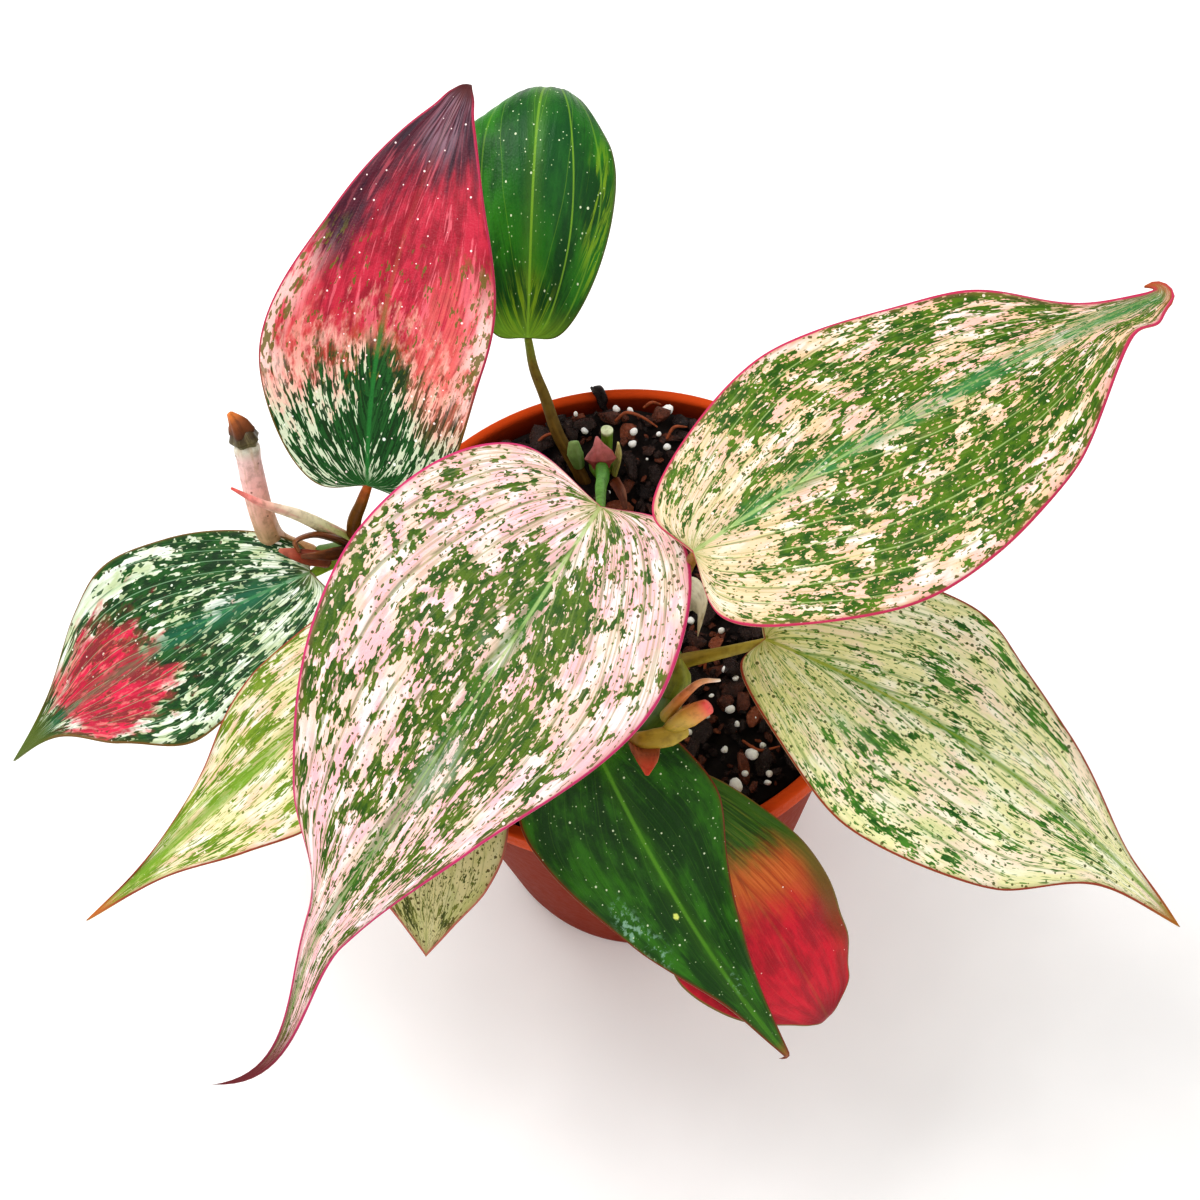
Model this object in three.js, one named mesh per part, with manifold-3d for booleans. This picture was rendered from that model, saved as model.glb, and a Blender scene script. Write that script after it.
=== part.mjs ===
// A trailing philodendron with velvety variegated leaves in a round plastic pot.
// Millimetres, +Z up. The origin is the centre of the pot's underside, the front is -Y.
import * as THREE from 'three';
import Module from 'manifold-3d';
import { mergeVertices } from 'three/addons/utils/BufferGeometryUtils.js';

const wasm = await Module();
wasm.setup();

// Driving dimensions
const POT_HEIGHT = 98;
const POT_BASE_RADIUS = 33;
const POT_WALL_TOP_RADIUS = 49;
const RIM_RADIUS = 52.5;
const RIM_HEIGHT = 6;
const RIM_WIDTH = 2.4;
const WALL = 1.3;
const DRAIN_HOLE_RADIUS = 3;
const DRAIN_HOLE_CIRCLE = 20;
const DRAIN_HOLES = 5;
const SOIL_TOP = 93.5;
const BLADE_THICKNESS = 0.8;
const PETIOLE_RADIUS = 1.7;
const VINE_RADIUS = 2.6;
const GAP = 0.3;
const SEED = 41;

// A repeatable draw, so that the soil is the same each time
function makeDraw(seed) {
  let state = seed;
  return function draw() {
    state = (state * 1664525 + 1013904223) % 4294967296;
    return state / 4294967296;
  };
}

// Closed mesh to solid and back
function toSolid(geometry) {
  const bare = new THREE.BufferGeometry();
  bare.setAttribute('position', geometry.getAttribute('position').clone());
  if (geometry.index) {
    bare.setIndex(geometry.index.clone());
  }
  const merged = mergeVertices(bare, 1e-4);
  const index = merged.index.array;
  const keep = [];
  for (let i = 0; i < index.length; i += 3) {
    const a = index[i];
    const b = index[i + 1];
    const c = index[i + 2];
    if (a !== b && b !== c && a !== c) {
      keep.push(a, b, c);
    }
  }
  return new wasm.Manifold(new wasm.Mesh({
    numProp: 3,
    vertProperties: new Float32Array(merged.getAttribute('position').array),
    triVerts: new Uint32Array(keep),
  }));
}

function toGeometry(solid) {
  const mesh = solid.getMesh();
  const geometry = new THREE.BufferGeometry();
  geometry.setAttribute('position', new THREE.BufferAttribute(new Float32Array(mesh.vertProperties), 3));
  geometry.setIndex(new THREE.BufferAttribute(new Uint32Array(mesh.triVerts), 1));
  geometry.computeVertexNormals();
  return geometry;
}

// The largest piece of a cut solid
function largest(solid) {
  const pieces = solid.decompose();
  let best = pieces[0];
  for (const piece of pieces) {
    if (Math.abs(piece.volume()) > Math.abs(best.volume())) {
      best = piece;
    }
  }
  return best;
}

// Rows of points, each row a closed ring, with a single point at each end
function ringGeometry(first, rings, last) {
  const position = [];
  const index = [];
  const sides = rings[0].length;
  position.push(...first);
  for (const ring of rings) {
    for (const point of ring) {
      position.push(...point);
    }
  }
  position.push(...last);
  const end = 1 + rings.length * sides;
  for (let j = 0; j < sides; j += 1) {
    const k = (j + 1) % sides;
    index.push(0, 1 + k, 1 + j);
    for (let i = 0; i + 1 < rings.length; i += 1) {
      const a = 1 + i * sides;
      const b = a + sides;
      index.push(a + j, a + k, b + k);
      index.push(a + j, b + k, b + j);
    }
    const lastRow = 1 + (rings.length - 1) * sides;
    index.push(end, lastRow + j, lastRow + k);
  }
  const geometry = new THREE.BufferGeometry();
  geometry.setAttribute('position', new THREE.BufferAttribute(new Float32Array(position), 3));
  geometry.setIndex(index);
  return geometry;
}

// A round or flattened stalk along a curve; the radii are spread evenly along it
function stalk(points, radii, options = {}) {
  const sides = options.sides ?? 7;
  const steps = options.steps ?? 12;
  const flat = options.flat ?? 1;
  const grow = options.grow ?? 0;
  const curve = new THREE.CatmullRomCurve3(points.map((p) => new THREE.Vector3(...p)), false, 'centripetal');
  const axis = new THREE.Vector3(...(options.wide ?? [1, 0, 0.01])).normalize();
  const rings = [];
  const radiusAt = (t) => {
    const place = t * (radii.length - 1);
    const i = Math.min(Math.floor(place), radii.length - 2);
    return radii[i] + (radii[i + 1] - radii[i]) * (place - i);
  };
  let side = axis.clone();
  for (let i = 0; i <= steps; i += 1) {
    const t = i / steps;
    const centre = curve.getPoint(t);
    const tangent = curve.getTangent(t).normalize();
    side.addScaledVector(tangent, -side.dot(tangent)).normalize();
    const other = new THREE.Vector3().crossVectors(tangent, side).normalize();
    const radius = radiusAt(t);
    const ring = [];
    for (let j = 0; j < sides; j += 1) {
      const angle = (2 * Math.PI * j) / sides;
      const a = Math.cos(angle) * (radius + grow);
      const b = Math.sin(angle) * (radius * flat + grow);
      ring.push(centre.clone().addScaledVector(side, a).addScaledVector(other, b).toArray());
    }
    rings.push(ring);
  }
  const cap = options.cap ?? 0.6;
  const start = curve.getPoint(0).addScaledVector(curve.getTangent(0).normalize(), -cap * radii[0] - grow);
  const endRadius = radii[radii.length - 1];
  const end = curve.getPoint(1).addScaledVector(curve.getTangent(1).normalize(), cap * endRadius + grow);
  return toSolid(ringGeometry(start.toArray(), rings, end.toArray()));
}

// Leaf blades. A blade runs along the straight chord from base to tip, in its own plane:
// left and right give the lobe, the widest part, the shoulder and the start of the drip tip
// as [along the chord, out from the midrib]. arch lifts the midrib, sweep bends it sideways,
// fold turns each half up, roll leans the whole blade, left side up.
const STATIONS = [0, 0.12, 0.38, 0.66, 0.85, 1];
const MIDRIB_POWER = 1.55;

const LEAVES = [
  {
    name: 'front_leaf', color: 0xdcc9b0, base: [-2, -11, 160], tip: [-87, -89, 98],
    left: [[-3, 13], [22, 30], [62, 14], [92, 4]],
    right: [[-2, 16], [28, 36], [74, 24], [93, 5]],
    arch: 6, sweep: 3, hook: 6, roll: 0, fold: [5, 5], wave: 1.2, waves: 3,
  },
  {
    name: 'right_leaf', color: 0xe6d8b8, base: [13, -27, 168], tip: [108, 20, 158],
    left: [[-3, 10], [30, 25], [68, 18], [90, 4.5]],
    right: [[-4, 11], [28, 31], [66, 24.5], [90, 8]],
    arch: 6, sweep: 0, hook: 0, roll: 0, fold: [5, 5], wave: 1.2, waves: 3,
  },
  {
    name: 'lower_right_leaf', color: 0xdfe0bf, base: [25, -29, 135], tip: [96, -80, 95],
    left: [[-6, 12], [28, 21], [60, 12], [80, 3.5]],
    right: [[-3, 8], [26, 25], [60, 20], [78, 6]],
    arch: 5, sweep: 4, hook: 0, roll: 0, fold: [4, 4], wave: 1, waves: 3,
  },
  {
    name: 'red_leaf', color: 0xa8324a, base: [-46, 18, 129], tip: [-17, 78, 172],
    left: [[-1, 10], [20, 23], [48, 15.5], [66, 7.5]],
    right: [[-2, 12], [26, 22], [50, 18], [68, 8]],
    arch: 4, sweep: 4, hook: 0, roll: 0, fold: [5, 5], wave: 1, waves: 2,
  },
  {
    name: 'back_leaf', color: 0x4f8a3c, base: [-12, 54, 118], tip: [0, 112, 104],
    left: [[0, 6], [20, 16], [44, 15], [54, 8]],
    right: [[1, 6], [17, 15], [42, 11.5], [54, 5]],
    arch: 29, skew: 0.4, cup: [-6, -7], sweep: 0, hook: 0, roll: 0, fold: [4, 4], wave: 0.8, waves: 2,
  },
  {
    name: 'left_leaf', color: 0x3f5a38, base: [-60, 10, 112], tip: [-129, -2, 70],
    left: [[-4, 10], [24, 23], [50, 14], [68, 3]],
    right: [[-2, 9], [30, 20], [58, 16.5], [70, 5]],
    arch: 5, sweep: -1, hook: 0, roll: 0, fold: [4, 4], wave: 1, waves: 3,
  },
  {
    name: 'lower_left_leaf', color: 0xd9cf8c, base: [-44, -13, 122], tip: [-113, -44, 80],
    left: [[-3, 9], [24, 19], [46, 13], [66, 4]],
    right: [[-3, 9], [22, 15.5], [46, 7.5], [66, 1.5]],
    arch: 5, sweep: 3, hook: 0, roll: 0, fold: [8, 8], wave: 0.8, waves: 3,
  },
  {
    name: 'under_leaf', color: 0xa8a47c, base: [-35, -22, 116], tip: [-47, -59, 76],
    left: [[-3, 8], [20, 15], [37, 12], [48, 5]],
    right: [[-3, 8], [20, 16], [37, 12], [48, 5]],
    arch: 5, sweep: 0, hook: 0, roll: 0, fold: [5, 5], wave: 0.8, waves: 2,
  },
  {
    name: 'green_leaf', color: 0x3e6b33, base: [-9, -38, 120], tip: [20, -86, 68],
    left: [[-2, 8], [18, 17], [42, 9.5], [60, 3.5]],
    right: [[-4, 9], [9, 20], [36, 12], [58, 4]],
    arch: 6, sweep: -4, hook: 0, roll: 0, fold: [6, 6], wave: 1, waves: 3,
  },
  {
    name: 'blushed_leaf', color: 0xb04a2c, base: [3, -44, 110], tip: [26, -79, 60],
    left: [[2, 6], [24, 17], [44, 17], [56, 12]],
    right: [[-1, 7], [24, 20], [44, 18], [56, 9]],
    arch: 6, sweep: 0, hook: 0, roll: 0, fold: [4, 4], wave: 0.8, waves: 2,
  },
];

// Smooth run through the stations of one side
function marginPoint(side, length, u) {
  const points = [[0, 0], ...side, [length, 0]];
  const n = points.length;
  let i = 0;
  while (i < n - 2 && u > STATIONS[i + 1]) {
    i += 1;
  }
  const slope = (k, axis) => {
    if (k === 0) {
      return (points[1][axis] - points[0][axis]) / (STATIONS[1] - STATIONS[0]);
    }
    if (k === n - 1) {
      return (points[n - 1][axis] - points[n - 2][axis]) / (STATIONS[n - 1] - STATIONS[n - 2]);
    }
    const before = STATIONS[k] - STATIONS[k - 1];
    const after = STATIONS[k + 1] - STATIONS[k];
    const d0 = (points[k][axis] - points[k - 1][axis]) / before;
    const d1 = (points[k + 1][axis] - points[k][axis]) / after;
    return (d0 * after + d1 * before) / (before + after);
  };
  const h = STATIONS[i + 1] - STATIONS[i];
  const t = (u - STATIONS[i]) / h;
  const out = [];
  for (let axis = 0; axis < 2; axis += 1) {
    out.push((2 * t ** 3 - 3 * t ** 2 + 1) * points[i][axis]
      + (t ** 3 - 2 * t ** 2 + t) * h * slope(i, axis)
      + (3 * t ** 2 - 2 * t ** 3) * points[i + 1][axis]
      + (t ** 3 - t ** 2) * h * slope(i + 1, axis));
  }
  return out;
}

function leafFrame(leaf) {
  const base = new THREE.Vector3(...leaf.base);
  const along = new THREE.Vector3(...leaf.tip).sub(base);
  const length = along.length();
  along.normalize();
  const up = new THREE.Vector3(...(leaf.up ?? [0, 0, 1]));
  up.addScaledVector(along, -up.dot(along)).normalize();
  const across = new THREE.Vector3().crossVectors(up, along);
  const lean = THREE.MathUtils.degToRad(leaf.roll);
  const side = across.clone().multiplyScalar(Math.cos(lean)).addScaledVector(up, Math.sin(lean));
  const normal = up.clone().multiplyScalar(Math.cos(lean)).addScaledVector(across, -Math.sin(lean));
  return { base, along, side, normal, length };
}

// Height and sideways place of the midrib at the share q of the chord
function midribOffset(leaf, q) {
  const late = Math.max((q - 0.7) / 0.3, 0);
  const bump = 6.75 * late * late * (1 - late);
  return {
    lift: 4 * leaf.arch * q * (1 - q) * (1 + (leaf.skew ?? 0) * (2 * q - 1)) + (leaf.curl ?? 0) * bump,
    shift: 4 * leaf.sweep * q * (1 - q) + leaf.hook * bump,
  };
}

// A point of the blade's middle surface: u runs from base to tip, v from -1 to 1 across
function bladePoint(leaf, frame, u, v) {
  const margin = marginPoint(v >= 0 ? leaf.left : leaf.right, frame.length, u);
  const share = Math.abs(v);
  const sign = v >= 0 ? 1 : -1;
  const x = frame.length * u ** MIDRIB_POWER * (1 - share) + margin[0] * share;
  const y = sign * margin[1] * share;
  const q = Math.min(Math.max(x / frame.length, 0), 1);
  const step = 0.001;
  const here = midribOffset(leaf, q);
  const low = midribOffset(leaf, Math.max(q - step, 0));
  const high = midribOffset(leaf, Math.min(q + step, 1));
  const run = (Math.min(q + step, 1) - Math.max(q - step, 0)) * frame.length;
  const rise = (high.lift - low.lift) / run;
  const bend = (high.shift - low.shift) / run;
  const direction = frame.along.clone().addScaledVector(frame.normal, rise).addScaledVector(frame.side, bend);
  const point = frame.base.clone().addScaledVector(frame.along, Math.max(x, 0));
  point.addScaledVector(frame.normal, here.lift).addScaledVector(frame.side, here.shift);
  point.addScaledVector(direction, Math.min(x, 0));
  direction.normalize();
  const side = frame.side.clone().addScaledVector(direction, -frame.side.dot(direction)).normalize();
  const normal = new THREE.Vector3().crossVectors(direction, side);
  const fold = THREE.MathUtils.degToRad(v >= 0 ? leaf.fold[0] : leaf.fold[1]);
  const reach = Math.abs(y);
  const soft = Math.sqrt(reach * reach + 2.25) - 1.5;
  const cup = leaf.cup ? (v >= 0 ? leaf.cup[0] : leaf.cup[1]) : 0;
  const widest = 0.5 * (leaf.left[1][1] + leaf.right[1][1]);
  let height = soft * Math.sin(fold) + cup * (reach / widest) ** 2;
  const out = Math.sign(y) * reach * Math.cos(fold);
  const turn = THREE.MathUtils.degToRad(leaf.twist ?? 0) * q;
  const outTurned = out * Math.cos(turn) - height * Math.sin(turn);
  height = out * Math.sin(turn) + height * Math.cos(turn);
  const phase = leaf.waves * u + (v >= 0 ? 0.2 : 0.65);
  height += leaf.wave * Math.sin(2 * Math.PI * phase) * share * share * Math.sin(Math.PI * u);
  return point.addScaledVector(side, outTurned).addScaledVector(normal, height);
}

function bladeNormal(leaf, frame, u, v) {
  const step = 0.004;
  const nearU = Math.min(Math.max(u, 0.02), 0.98);
  const nearV = Math.min(Math.max(v, -0.99), 0.99);
  const du = bladePoint(leaf, frame, nearU + step, nearV).sub(bladePoint(leaf, frame, nearU - step, nearV));
  const dv = bladePoint(leaf, frame, nearU, nearV + step).sub(bladePoint(leaf, frame, nearU, nearV - step));
  return du.cross(dv).normalize();
}

const ROWS = 15;
const COLUMNS = 8;

function blade(leaf, thickness) {
  const frame = leafFrame(leaf);
  const faceAt = (u, v, side) => {
    const point = bladePoint(leaf, frame, u, v);
    return point.addScaledVector(bladeNormal(leaf, frame, u, v), side * thickness / 2).toArray();
  };
  const position = [];
  const index = [];
  const number = (side, i, j) => {
    const face = side > 0 ? 0 : 2 + (ROWS - 1) * (COLUMNS + 1);
    if (i === 0) {
      return face;
    }
    if (i === ROWS) {
      return face + 1;
    }
    return face + 2 + (i - 1) * (COLUMNS + 1) + j;
  };
  for (const side of [1, -1]) {
    position.push(...faceAt(0, 0, side));
    position.push(...faceAt(1, 0, side));
    for (let i = 1; i < ROWS; i += 1) {
      for (let j = 0; j <= COLUMNS; j += 1) {
        position.push(...faceAt(i / ROWS, (2 * j) / COLUMNS - 1, side));
      }
    }
  }
  const add = (a, b, c, flip) => {
    if (a !== b && b !== c && a !== c) {
      index.push(a, flip ? c : b, flip ? b : c);
    }
  };
  for (let i = 0; i < ROWS; i += 1) {
    for (let j = 0; j < COLUMNS; j += 1) {
      for (const side of [1, -1]) {
        const flip = side < 0;
        add(number(side, i, j), number(side, i + 1, j), number(side, i + 1, j + 1), flip);
        add(number(side, i, j), number(side, i + 1, j + 1), number(side, i, j + 1), flip);
      }
    }
    for (const j of [0, COLUMNS]) {
      const flip = j === 0;
      add(number(1, i, j), number(1, i + 1, j), number(-1, i + 1, j), flip);
      add(number(1, i, j), number(-1, i + 1, j), number(-1, i, j), flip);
    }
  }
  const geometry = new THREE.BufferGeometry();
  geometry.setAttribute('position', new THREE.BufferAttribute(new Float32Array(position), 3));
  geometry.setIndex(index);
  return toSolid(geometry);
}

// Vines: each runs from below the soil to its last node
const VINES = {
  front_vine: {
    points: [[2, 2, 72], [2, 0, 88], [4, -10, 106], [7, -22, 119], [7.5, -31, 125], [5, -38, 127], [1.5, -42, 127.5]],
    radii: [VINE_RADIUS, VINE_RADIUS, 2.4, 2.3, 2.2],
    steps: 20,
  },
  back_vine: {
    points: [[-0.5, 38.5, 74], [-0.5, 38.5, 90], [-0.5, 35, 98], [-0.5, 29.5, 104.5]],
    radii: [2.3, 2.3, 2.2, 2.2],
    steps: 10,
  },
  left_vine: {
    points: [[-35.5, 16.5, 72], [-39.5, 13.5, 92], [-45, 13, 103], [-52, 16, 106.5], [-59, 17.5, 105]],
    radii: [VINE_RADIUS, VINE_RADIUS, 2.5, 2.4],
    steps: 16,
  },
};

// Petioles: from the vine to just behind and below the base of the blade
const PETIOLES = [
  { leaf: 'front_leaf', color: 0x4aa82a, vine: 'back_vine', points: [[-0.5, 28.5, 104.5], [-0.5, 19.5, 120], [-1.5, 5, 141]] },
  { leaf: 'right_leaf', color: 0x7a5a1c, vine: 'front_vine', points: [[5.5, -13, 109], [9, -18, 135], [12, -23, 155]] },
  {
    leaf: 'lower_right_leaf', color: 0x8c8226, vine: 'front_vine',
    points: [[7, -25, 121], [10.5, -28.5, 129.5], [16, -30, 133.5]],
  },
  { leaf: 'red_leaf', color: 0x6e4a12, vine: 'left_vine', points: [[-51, 16, 106.5], [-50.5, 18, 115], [-48, 18.5, 122]] },
  {
    leaf: 'back_leaf', color: 0x6a5a1e, vine: 'back_vine',
    points: [[-2, 29, 76], [-2.5, 30.5, 87], [-5, 33.5, 97], [-8.5, 39, 105], [-10, 45, 109.5], [-11.5, 50, 113]],
  },
  { leaf: 'left_leaf', color: 0x6f9a24, vine: 'left_vine', points: [[-53, 16, 106.5], [-56.5, 13, 109]] },
  {
    leaf: 'lower_left_leaf', color: 0x8c8a30, vine: 'left_vine',
    points: [[-39.5, 13.5, 91.5], [-39.5, 5, 105], [-42, -6, 116]],
  },
  {
    leaf: 'under_leaf', color: 0x8c8a30, vine: 'front_vine',
    points: [[2.5, -2, 94], [-10, -7, 107], [-24, -15, 114]],
  },
  { leaf: 'green_leaf', color: 0x6f8a24, vine: 'front_vine', points: [[7, -24, 120.5], [1, -28, 122.5], [-5, -33, 121.5]] },
  { leaf: 'blushed_leaf', color: 0x6f8a24, vine: 'front_vine', points: [[4.5, -12, 106.5], [6.5, -24, 110.5], [5, -35, 109]] },
];

// Small parts of the stems. clear names the pieces that each one is cut back from.
const SHOOTS = [
  {
    name: 'cut_stem', color: 0xd9b09a, clear: ['left_vine', 'left_leaf_petiole'], sides: 10, steps: 8,
    points: [[-61, 18, 104.5], [-66.5, 20, 108], [-68, 20.5, 118], [-68.5, 25, 125], [-68.5, 29, 130.5]],
    radii: [2.6, 2.5, 2.4, 2.4, 2.3],
  },
  {
    name: 'cut_stem_collar', color: 0x5f5a34, clear: ['cut_stem'], sides: 10, steps: 3,
    points: [[-68.5, 29.5, 131.2], [-68.7, 30.5, 133]],
    radii: [2.3, 2.8, 2.6],
  },
  {
    name: 'dry_stem_cap', color: 0x7a431c, clear: ['cut_stem_collar'], sides: 8, steps: 4,
    points: [[-69, 31, 133.6], [-69.4, 31.7, 135.3], [-70.5, 33, 137]],
    radii: [2.4, 1.9, 0.7],
  },
  {
    name: 'new_spike', color: 0xe8dcb4, clear: ['left_vine', 'red_leaf_petiole'], steps: 14,
    points: [[-52, 17, 110], [-60.5, 18, 121], [-67, 18, 127.5], [-72, 20, 131]],
    radii: [1.5, 1.4, 1.1, 0.9, 0.7, 0.3],
  },
  {
    name: 'dry_sheath_upper', color: 0x5a3214, clear: ['left_vine', 'new_spike', 'red_leaf_petiole'], steps: 10, flat: 0.5,
    points: [[-61.5, 12.5, 116.6], [-62, 14, 117.6], [-58.5, 15.5, 117], [-55, 15.5, 115], [-53, 15.5, 112.5]],
    radii: [0.7, 0.8, 1.2, 1.6, 1.6], wide: [0, 0.5, 0.9],
  },
  {
    name: 'dry_sheath_lower', color: 0x4a2a12, clear: ['left_vine', 'dry_sheath_upper', 'left_leaf_petiole'], steps: 10,
    flat: 0.5, points: [[-61, 11.5, 116], [-58, 11, 116.5], [-55.5, 12, 114.5], [-53.5, 13.5, 112]],
    radii: [0.5, 0.9, 1.4, 1.4], wide: [0, 0.5, 0.9],
  },
  {
    name: 'red_sheath', color: 0x8e3a22, steps: 10, flat: 0.5,
    clear: ['left_vine', 'dry_sheath_lower', 'dry_sheath_upper', 'left_leaf_petiole', 'cut_stem'],
    points: [[-56.5, 11.5, 113.5], [-60.5, 12, 114.8], [-63, 12.5, 116], [-65.2, 13, 117]],
    radii: [1.7, 1.5, 1.1, 0.4], wide: [0, 0.8, 0.5],
  },
  {
    name: 'node_sheath', color: 0xa05048, clear: ['back_vine', 'front_leaf_petiole', 'back_leaf_petiole'], steps: 8,
    flat: 0.3, points: [[-0.5, 29, 104.5], [0, 30.5, 108.5], [-0.5, 32, 113]],
    radii: [2.2, 2.9, 2.2, 0.6], wide: [1, 0, 0],
  },
  {
    name: 'cut_stub', color: 0x8aa63c, clear: ['back_vine', 'node_sheath'], steps: 6,
    points: [[0.5, 31.5, 104], [1.2, 33, 108.5], [1.5, 33.5, 112.5]],
    radii: [1.5, 1.4, 1.4, 1.5],
  },
  {
    name: 'yellow_sheath', color: 0xa8a84e, clear: ['back_vine', 'node_sheath', 'cut_stub', 'front_leaf_petiole'], steps: 6,
    flat: 0.5, points: [[2, 28.5, 104], [3.2, 29.5, 109], [3.4, 30, 112.5]],
    radii: [1.2, 1.4, 0.5], wide: [0, 1, 0],
  },
  {
    name: 'green_bract', color: 0x9cc46a, clear: ['back_vine', 'back_leaf_petiole', 'node_sheath'], steps: 6,
    flat: 0.4, points: [[-5, 33, 99], [-5.2, 33, 104], [-5, 34, 109.5]],
    radii: [1.4, 2, 0.6], wide: [1, 0, 0.2],
  },
  {
    name: 'brown_strip', color: 0x6a3a22, clear: ['back_vine', 'front_leaf_petiole', 'yellow_sheath'], steps: 6,
    flat: 0.35, points: [[1.8, 27, 103], [2.8, 24, 103], [3.2, 21, 102]],
    radii: [1.2, 1.1, 0.5], wide: [1, 0, 0.4],
  },
  {
    name: 'pale_sheath', color: 0xd9d6bc, clear: ['front_vine', 'right_leaf_petiole'], steps: 8, flat: 0.25,
    points: [[7.5, -15, 122], [12, -12, 124.5], [14.6, -14.5, 126], [13.5, -20.5, 126.5]],
    radii: [1.5, 2.4, 2.6, 1.8, 0.4], wide: [1, 0.3, 0],
  },
  {
    name: 'olive_sheath', color: 0x94942c, clear: ['front_vine', 'lower_right_leaf_petiole', 'blushed_leaf_petiole'],
    steps: 8, flat: 0.4, points: [[6, -36, 127], [8.5, -34, 131.5], [8.8, -31, 135]],
    radii: [1.6, 2.2, 1.9, 0.6], wide: [1, -0.2, 0],
  },
  {
    name: 'shoot_band', color: 0xa89a34, clear: ['front_vine', 'green_leaf_petiole', 'blushed_leaf_petiole'], steps: 10,
    flat: 0.6, points: [[-2, -43, 130], [0.5, -44.6, 131.6], [4.5, -44.8, 132], [8, -44, 132]],
    radii: [0.8, 1.5, 1.9, 2, 1.4], wide: [0, 1, 0.5],
  },
  {
    name: 'rolled_leaf', color: 0xd98a5c, clear: ['front_vine', 'shoot_band', 'olive_sheath', 'blushed_leaf_petiole'], steps: 8,
    flat: 0.8, points: [[5, -43, 131], [7.5, -43.5, 135], [10.5, -43, 137], [12.8, -42.6, 138]],
    radii: [1.4, 2.4, 2.6, 2.2, 1.4], wide: [1, 0, 0.3],
  },
  {
    name: 'curved_spike', color: 0xd9b27a, clear: ['front_vine', 'shoot_band', 'rolled_leaf', 'olive_sheath'], steps: 12,
    points: [[5, -41.5, 133.5], [8.5, -40, 138], [12, -38.6, 140], [15.5, -38.2, 139]],
    radii: [1.6, 1.3, 0.9, 0.6, 0.35],
  },
  {
    name: 'shoot_sheath', color: 0x9c4a34, clear: ['shoot_band', 'green_leaf_petiole', 'blushed_leaf_petiole'], steps: 8,
    flat: 0.25, points: [[0.5, -44, 129.3], [0.8, -48, 131], [0.3, -51.5, 131.5]],
    radii: [2.8, 2.7, 1.9, 0.5], wide: [1, 0, 0],
  },
];

// Every piece as a solid, and the same piece a little larger to cut its neighbours by
const solids = {};
const cutters = {};
const colors = {};

function keepPiece(name, color, solid, cutter) {
  solids[name] = solid;
  cutters[name] = cutter;
  colors[name] = color;
}

for (const [name, vine] of Object.entries(VINES)) {
  const options = { sides: 10, steps: vine.steps };
  const solid = stalk(vine.points, vine.radii, options);
  keepPiece(name, 0x6b7a2c, solid, stalk(vine.points, vine.radii, { ...options, grow: GAP }));
}

for (const leaf of LEAVES) {
  const name = `${leaf.name}_blade`;
  keepPiece(name, leaf.color, blade(leaf, BLADE_THICKNESS), blade(leaf, BLADE_THICKNESS + 2 * GAP));
}

solids.left_vine = largest(solids.left_vine.subtract(cutters.left_leaf_blade));

for (const petiole of PETIOLES) {
  const leaf = LEAVES.find((one) => one.name === petiole.leaf);
  const frame = leafFrame(leaf);
  const end = frame.base.clone().addScaledVector(frame.along, -0.6).addScaledVector(frame.normal, -1.5);
  const points = [...petiole.points, end.toArray()];
  const radii = [PETIOLE_RADIUS, 1.5, 1.35, 1.2, 1.1];
  const solid = stalk(points, radii, { steps: 9 });
  const name = `${petiole.leaf}_petiole`;
  let cut = solid.subtract(cutters[petiole.vine]);
  for (const other of LEAVES) {
    cut = cut.subtract(cutters[`${other.name}_blade`]);
  }
  keepPiece(name, petiole.color, largest(cut), stalk(points, radii, { steps: 9, grow: GAP }));
}

for (const shoot of SHOOTS) {
  let solid = stalk(shoot.points, shoot.radii, shoot);
  for (const other of [...shoot.clear, ...LEAVES.map((leaf) => `${leaf.name}_blade`)]) {
    solid = solid.subtract(cutters[other]);
  }
  keepPiece(shoot.name, shoot.color, largest(solid), stalk(shoot.points, shoot.radii, { ...shoot, grow: GAP }));
}

// Pot: tapered wall with a rolled rim, a flat foot and drain holes in the floor
function potProfile() {
  const wallTop = POT_HEIGHT - RIM_HEIGHT;
  const innerRim = RIM_RADIUS - RIM_WIDTH;
  return [
    [0, 0],
    [POT_BASE_RADIUS - 0.8, 0],
    [POT_BASE_RADIUS, 0.8],
    [POT_WALL_TOP_RADIUS, wallTop],
    [RIM_RADIUS - 0.6, wallTop],
    [RIM_RADIUS, wallTop + 0.8],
    [RIM_RADIUS, POT_HEIGHT - 0.9],
    [RIM_RADIUS - 0.8, POT_HEIGHT],
    [innerRim + 0.8, POT_HEIGHT],
    [innerRim, POT_HEIGHT - 0.9],
    [POT_WALL_TOP_RADIUS - WALL, wallTop - 3],
    [POT_BASE_RADIUS - WALL, WALL + 0.4],
    [0, WALL + 0.4],
  ].map((p) => new THREE.Vector2(...p));
}

function lathe(profile, segments) {
  const geometry = new THREE.LatheGeometry(profile, segments);
  geometry.rotateX(Math.PI / 2);
  return geometry;
}

let pot = toSolid(lathe(potProfile(), 48));
for (let i = 0; i < DRAIN_HOLES; i += 1) {
  const angle = (2 * Math.PI * i) / DRAIN_HOLES;
  const drill = new THREE.CylinderGeometry(DRAIN_HOLE_RADIUS, DRAIN_HOLE_RADIUS, 8, 12);
  drill.rotateX(Math.PI / 2);
  drill.translate(DRAIN_HOLE_CIRCLE * Math.cos(angle), DRAIN_HOLE_CIRCLE * Math.sin(angle), 0);
  pot = pot.subtract(toSolid(drill));
}

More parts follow.
